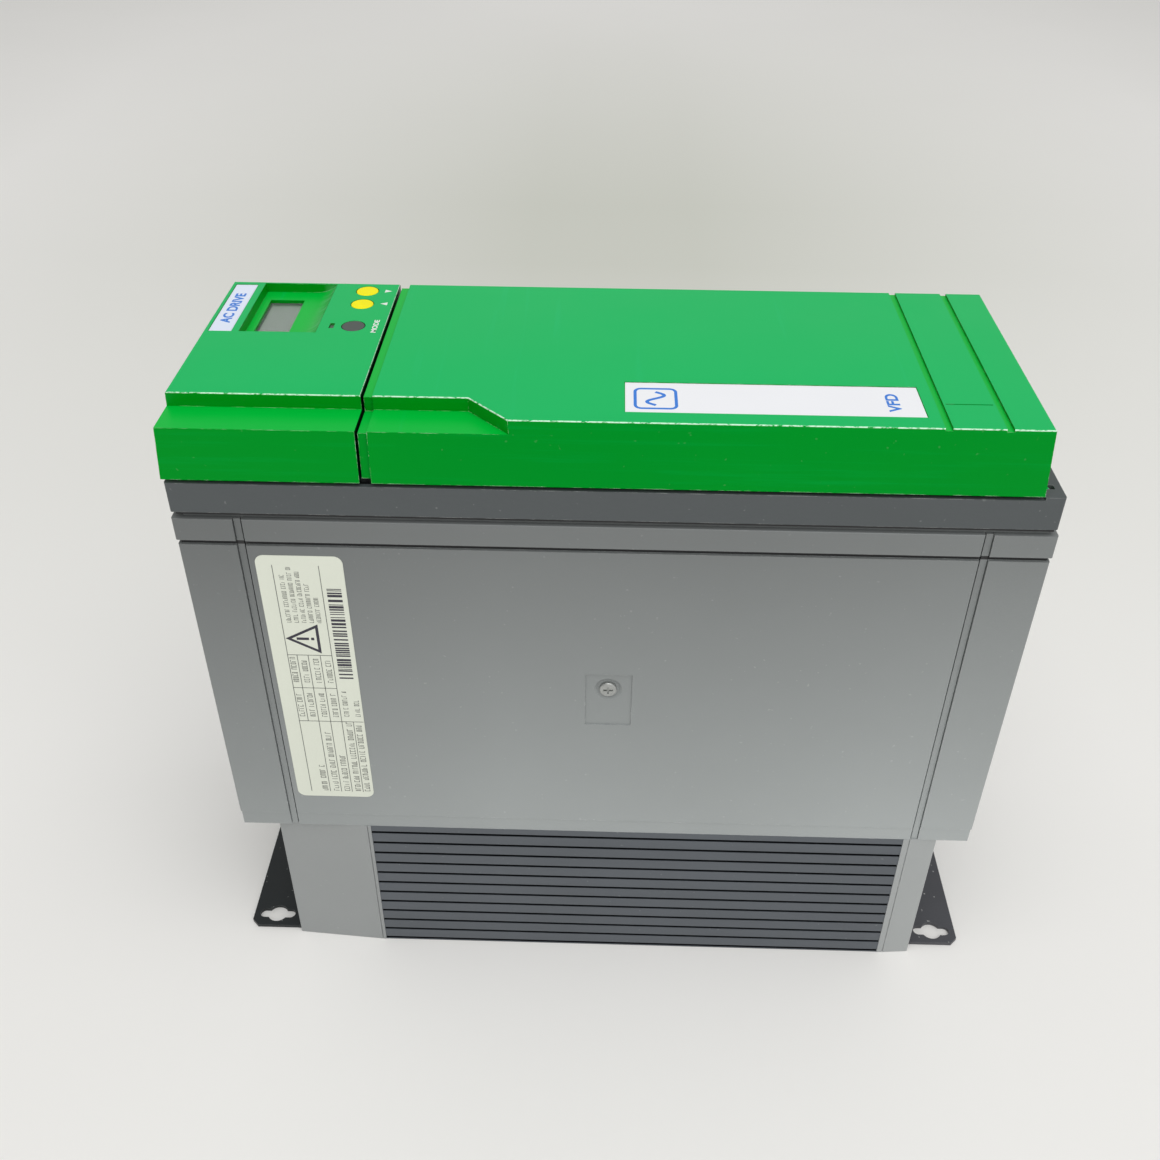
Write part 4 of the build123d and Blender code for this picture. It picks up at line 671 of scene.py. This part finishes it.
# cover strip: a sine wave in a rounded square, and a plain word
STRIP_TOP = top_of("cover_label")
EMBLEM_X, EMBLEM_Y, EMBLEM_HALF, EMBLEM_ROUND = 15.9, -45.0, 8.4, 2.6
CORNER_STEPS = 6
WAVE_STEPS, WAVE_HEIGHT, WAVE_LENGTH = 24, 3.6, 11.2
emblem = Print(facing_up(STRIP_TOP), MARK_THICKNESS)
corners = []
for cx, cy, start in ((1, 1, 0), (-1, 1, 90), (-1, -1, 180), (1, -1, 270)):
    for step in range(CORNER_STEPS + 1):
        a = math.radians(start + step * 90 / CORNER_STEPS)
        corners.append((EMBLEM_X + cx * (EMBLEM_HALF - EMBLEM_ROUND) + EMBLEM_ROUND * math.cos(a),
                        EMBLEM_Y + cy * (EMBLEM_HALF - EMBLEM_ROUND) + EMBLEM_ROUND * math.sin(a)))
emblem.stroke(corners, 1.3, closed=True)
wave = [(EMBLEM_X - WAVE_HEIGHT * math.sin(t * math.tau / WAVE_STEPS),
         EMBLEM_Y - WAVE_LENGTH / 2 + WAVE_LENGTH * t / WAVE_STEPS) for t in range(WAVE_STEPS + 1)]
emblem.stroke(wave, 1.5)
emblem.build("strip_emblem", blue_ink, "cover")
lettering("strip_text", "VFD", 5.0, (113.2, -44.8, STRIP_TOP + LETTER_LIFT), blue_ink, "cover",
          weight=0.2, width=1.15)

# Wiring marks for the terminal tray, under the cover. Their height is the top of the tray's box, which is
# the top of its dust ribs, so they float above the tray's face: a known fault.
WIRING_Z = top_of("terminal_tray")
WAYS, WAY_PITCH, ROW_MIDDLE = 16, 5.08, -51.35
for first, y in ((1, -45.6), (1 + WAYS, -23.6)):
    numbers = "\n".join(str(first + i) for i in range(WAYS))
    lettering(f"way_numbers_{first}", numbers, 1.7, (ROW_MIDDLE, y, WIRING_Z + LETTER_LIFT), white_ink,
              "drive", weight=0.05, line_pitch=WAY_PITCH)
POWER_X, POWER_Y, POWER_PITCH = 82.0, -45.5, 13
for i, name in enumerate(("L1", "L2", "L3", "-", "+", "U", "V", "W")):
    lettering(f"power_mark_{i + 1}", name, 3.4, (POWER_X, POWER_Y + POWER_PITCH * i, WIRING_Z + LETTER_LIFT),
              white_ink, "drive", weight=0.12)

EARTH_X, EARTH_Y = 164.5, 61.0
EARTH_STEM, EARTH_STEM_HALF, EARTH_BAR, EARTH_PITCH = 4.0, 0.25, 0.6, 1.6
earth = Print(facing_up(WIRING_Z), MARK_THICKNESS)
earth.rect(EARTH_X - EARTH_STEM, EARTH_X, EARTH_Y - EARTH_STEM_HALF, EARTH_Y + EARTH_STEM_HALF)
for i, half_length in enumerate((2.1, 1.2, 0.5)):
    bar_x = EARTH_X + EARTH_PITCH * i
    earth.rect(bar_x, bar_x + EARTH_BAR, EARTH_Y - half_length, EARTH_Y + half_length)
earth.build("earth_mark", white_ink, "drive")

# wiring sheet: columns of greeked notes on each side of a plain terminal diagram
SHEET_THICKNESS = 0.1
SHEET_X, SHEET_Y = (-40.0, 48.0), (4.0, 52.0)
NOTE_START, NOTE_PITCH, NOTE_SIZE = 8.0, 4.2, 2.2
sheet = Print(facing_up(WIRING_Z), SHEET_THICKNESS)
sheet.rect(*SHEET_X, *SHEET_Y)
sheet.build("wiring_sheet", paper, "drive")
on_sheet = facing_up(WIRING_Z + SHEET_THICKNESS)
notes = Print(on_sheet, 0.03)
diagram = Print(on_sheet, 0.03)
for i, reach in enumerate((46, 38, 44, 41, 30)):
    greeked_line(notes, -32.0 + i * NOTE_PITCH, NOTE_START, reach, NOTE_SIZE, rng)
for i in range(8):
    v = 9.0 + i * 5.4
    diagram.rect(-6.0, 2.0, v - 0.2, v + 0.2)
    diagram.stroke([(2.0, v - 1.5), (5.0, v - 1.5), (5.0, v + 1.5), (2.0, v + 1.5)], 0.4, closed=True)
diagram.stroke([(9.0, 10.0), (9.0, 46.0), (19.0, 46.0), (19.0, 10.0)], 0.5, closed=True)
for i, reach in enumerate((44, 36, 46, 40)):
    greeked_line(notes, 28.0 + i * NOTE_PITCH, NOTE_START, reach, NOTE_SIZE, rng)
notes.build("wiring_sheet_notes", dark_ink, "drive")
diagram.build("wiring_sheet_diagram", blue_ink, "drive")

# display: a dark surround on the LCD panel, open over the cell
(lcd_x0, lcd_y0, _), (lcd_x1, lcd_y1, lcd_top) = [tuple(c / MM for c in p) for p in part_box("lcd_panel")]
CELL_X, CELL_Y = (-165.4, -151.0), (22.0, 52.6)
LCD_MARGIN = 0.1
surround = Print(facing_up(lcd_top), MARK_THICKNESS)
surround.rect(lcd_x0 + LCD_MARGIN, CELL_X[0], lcd_y0 + LCD_MARGIN, lcd_y1 - LCD_MARGIN)
surround.rect(CELL_X[1], lcd_x1 - LCD_MARGIN, lcd_y0 + LCD_MARGIN, lcd_y1 - LCD_MARGIN)
surround.rect(*CELL_X, lcd_y0 + LCD_MARGIN, CELL_Y[0])
surround.rect(*CELL_X, CELL_Y[1], lcd_y1 - LCD_MARGIN)
surround.build("lcd_surround", lcd_dark, "drive")

# ---------------------------------------------------------------- floor, lights, camera

FLOOR_SIZE = 16
FLOOR_Z = -0.0002
FLOOR_DARK, FLOOR_LIGHT = (0.86, 0.85, 0.83), (0.89, 0.88, 0.86)
FLOOR_SHADOW = (0.62, 0.63, 0.57)  # painted shadow behind the object


def pale_floor(name):
    """Pale cloudy floor with a painted soft shadow behind the object."""
    mat, tree = new_material(name)
    out = add_node(tree, "ShaderNodeOutputMaterial")
    bsdf = add_node(tree, "ShaderNodeBsdfPrincipled")
    tone = mix_colour(tree, noise(tree, own_position(tree), 3.0, 3.0, 0.5), FLOOR_DARK, FLOOR_LIGHT)
    x, y = axis(tree, "Object", 0), axis(tree, "Object", 1)
    # painted shadow: a soft darker patch behind the object
    depth = product(tree, ramp(tree, y, 0.10, 0.90), ramp(tree, y, 2.3, 1.1))
    width = ramp(tree, math_node(tree, "ABSOLUTE", x), 0.85, 0.1)
    tone = mix_colour(tree, product(tree, depth, width), tone, FLOOR_SHADOW)
    link(tree, tone, bsdf.inputs["Base Color"])
    bsdf.inputs["Roughness"].default_value = 0.6
    link(tree, bsdf.outputs[0], out.inputs[0])
    return mat


floor_mat = pale_floor("pale_floor")
bpy.ops.mesh.primitive_plane_add(size=FLOOR_SIZE, location=(0, 0, FLOOR_Z))
floor = bpy.context.object
floor.name = "floor"
floor.data.materials.append(floor_mat)


def area_light(name, location, target, size, power):
    data = bpy.data.lights.new(name, "AREA")
    data.shape = "RECTANGLE"
    data.size, data.size_y = size
    data.energy = power
    lamp = bpy.data.objects.new(name, data)
    lamp.location = location
    lamp.rotation_euler = (Vector(target) - Vector(location)).to_track_quat("-Z", "Y").to_euler()
    lamp.visible_camera = False
    bpy.context.scene.collection.objects.link(lamp)
    return lamp


CASE_MIDDLE = (0, 0, 0.1)
area_light("overhead", (0.25, -0.9, 2.5), CASE_MIDDLE, (2.4, 2.0), 34)
area_light("front_window", (0.7, -2.5, 1.5), CASE_MIDDLE, (2.6, 1.6), 13)
far_wash = area_light("far_wash", (0.0, -0.3, 3.4), (0, 2.3, 0.0), (1.5, 0.6), 4)
far_wash.data.spread = math.radians(65)

world = bpy.data.worlds.new("studio")
world.use_nodes = True
background = world.node_tree.nodes["Background"]
background.inputs["Color"].default_value = (0.88, 0.88, 0.865, 1)
background.inputs["Strength"].default_value = 0.6
bpy.context.scene.world = world
bpy.context.scene.view_settings.view_transform = "Standard"

# in front of the drive and above it, looking down
EYE = (-0.00395, -0.49166, 0.57090)
EYE_TURN = (53.2296, -0.3415, 1.6185)
camera = bpy.data.cameras.new("camera")
camera.sensor_width = 36
camera.lens = 37.90
camera.clip_start, camera.clip_end = 0.01, 50
eye = bpy.data.objects.new("camera", camera)
eye.location = EYE
eye.rotation_euler = [math.radians(a) for a in EYE_TURN]
bpy.context.scene.collection.objects.link(eye)
bpy.context.scene.camera = eye
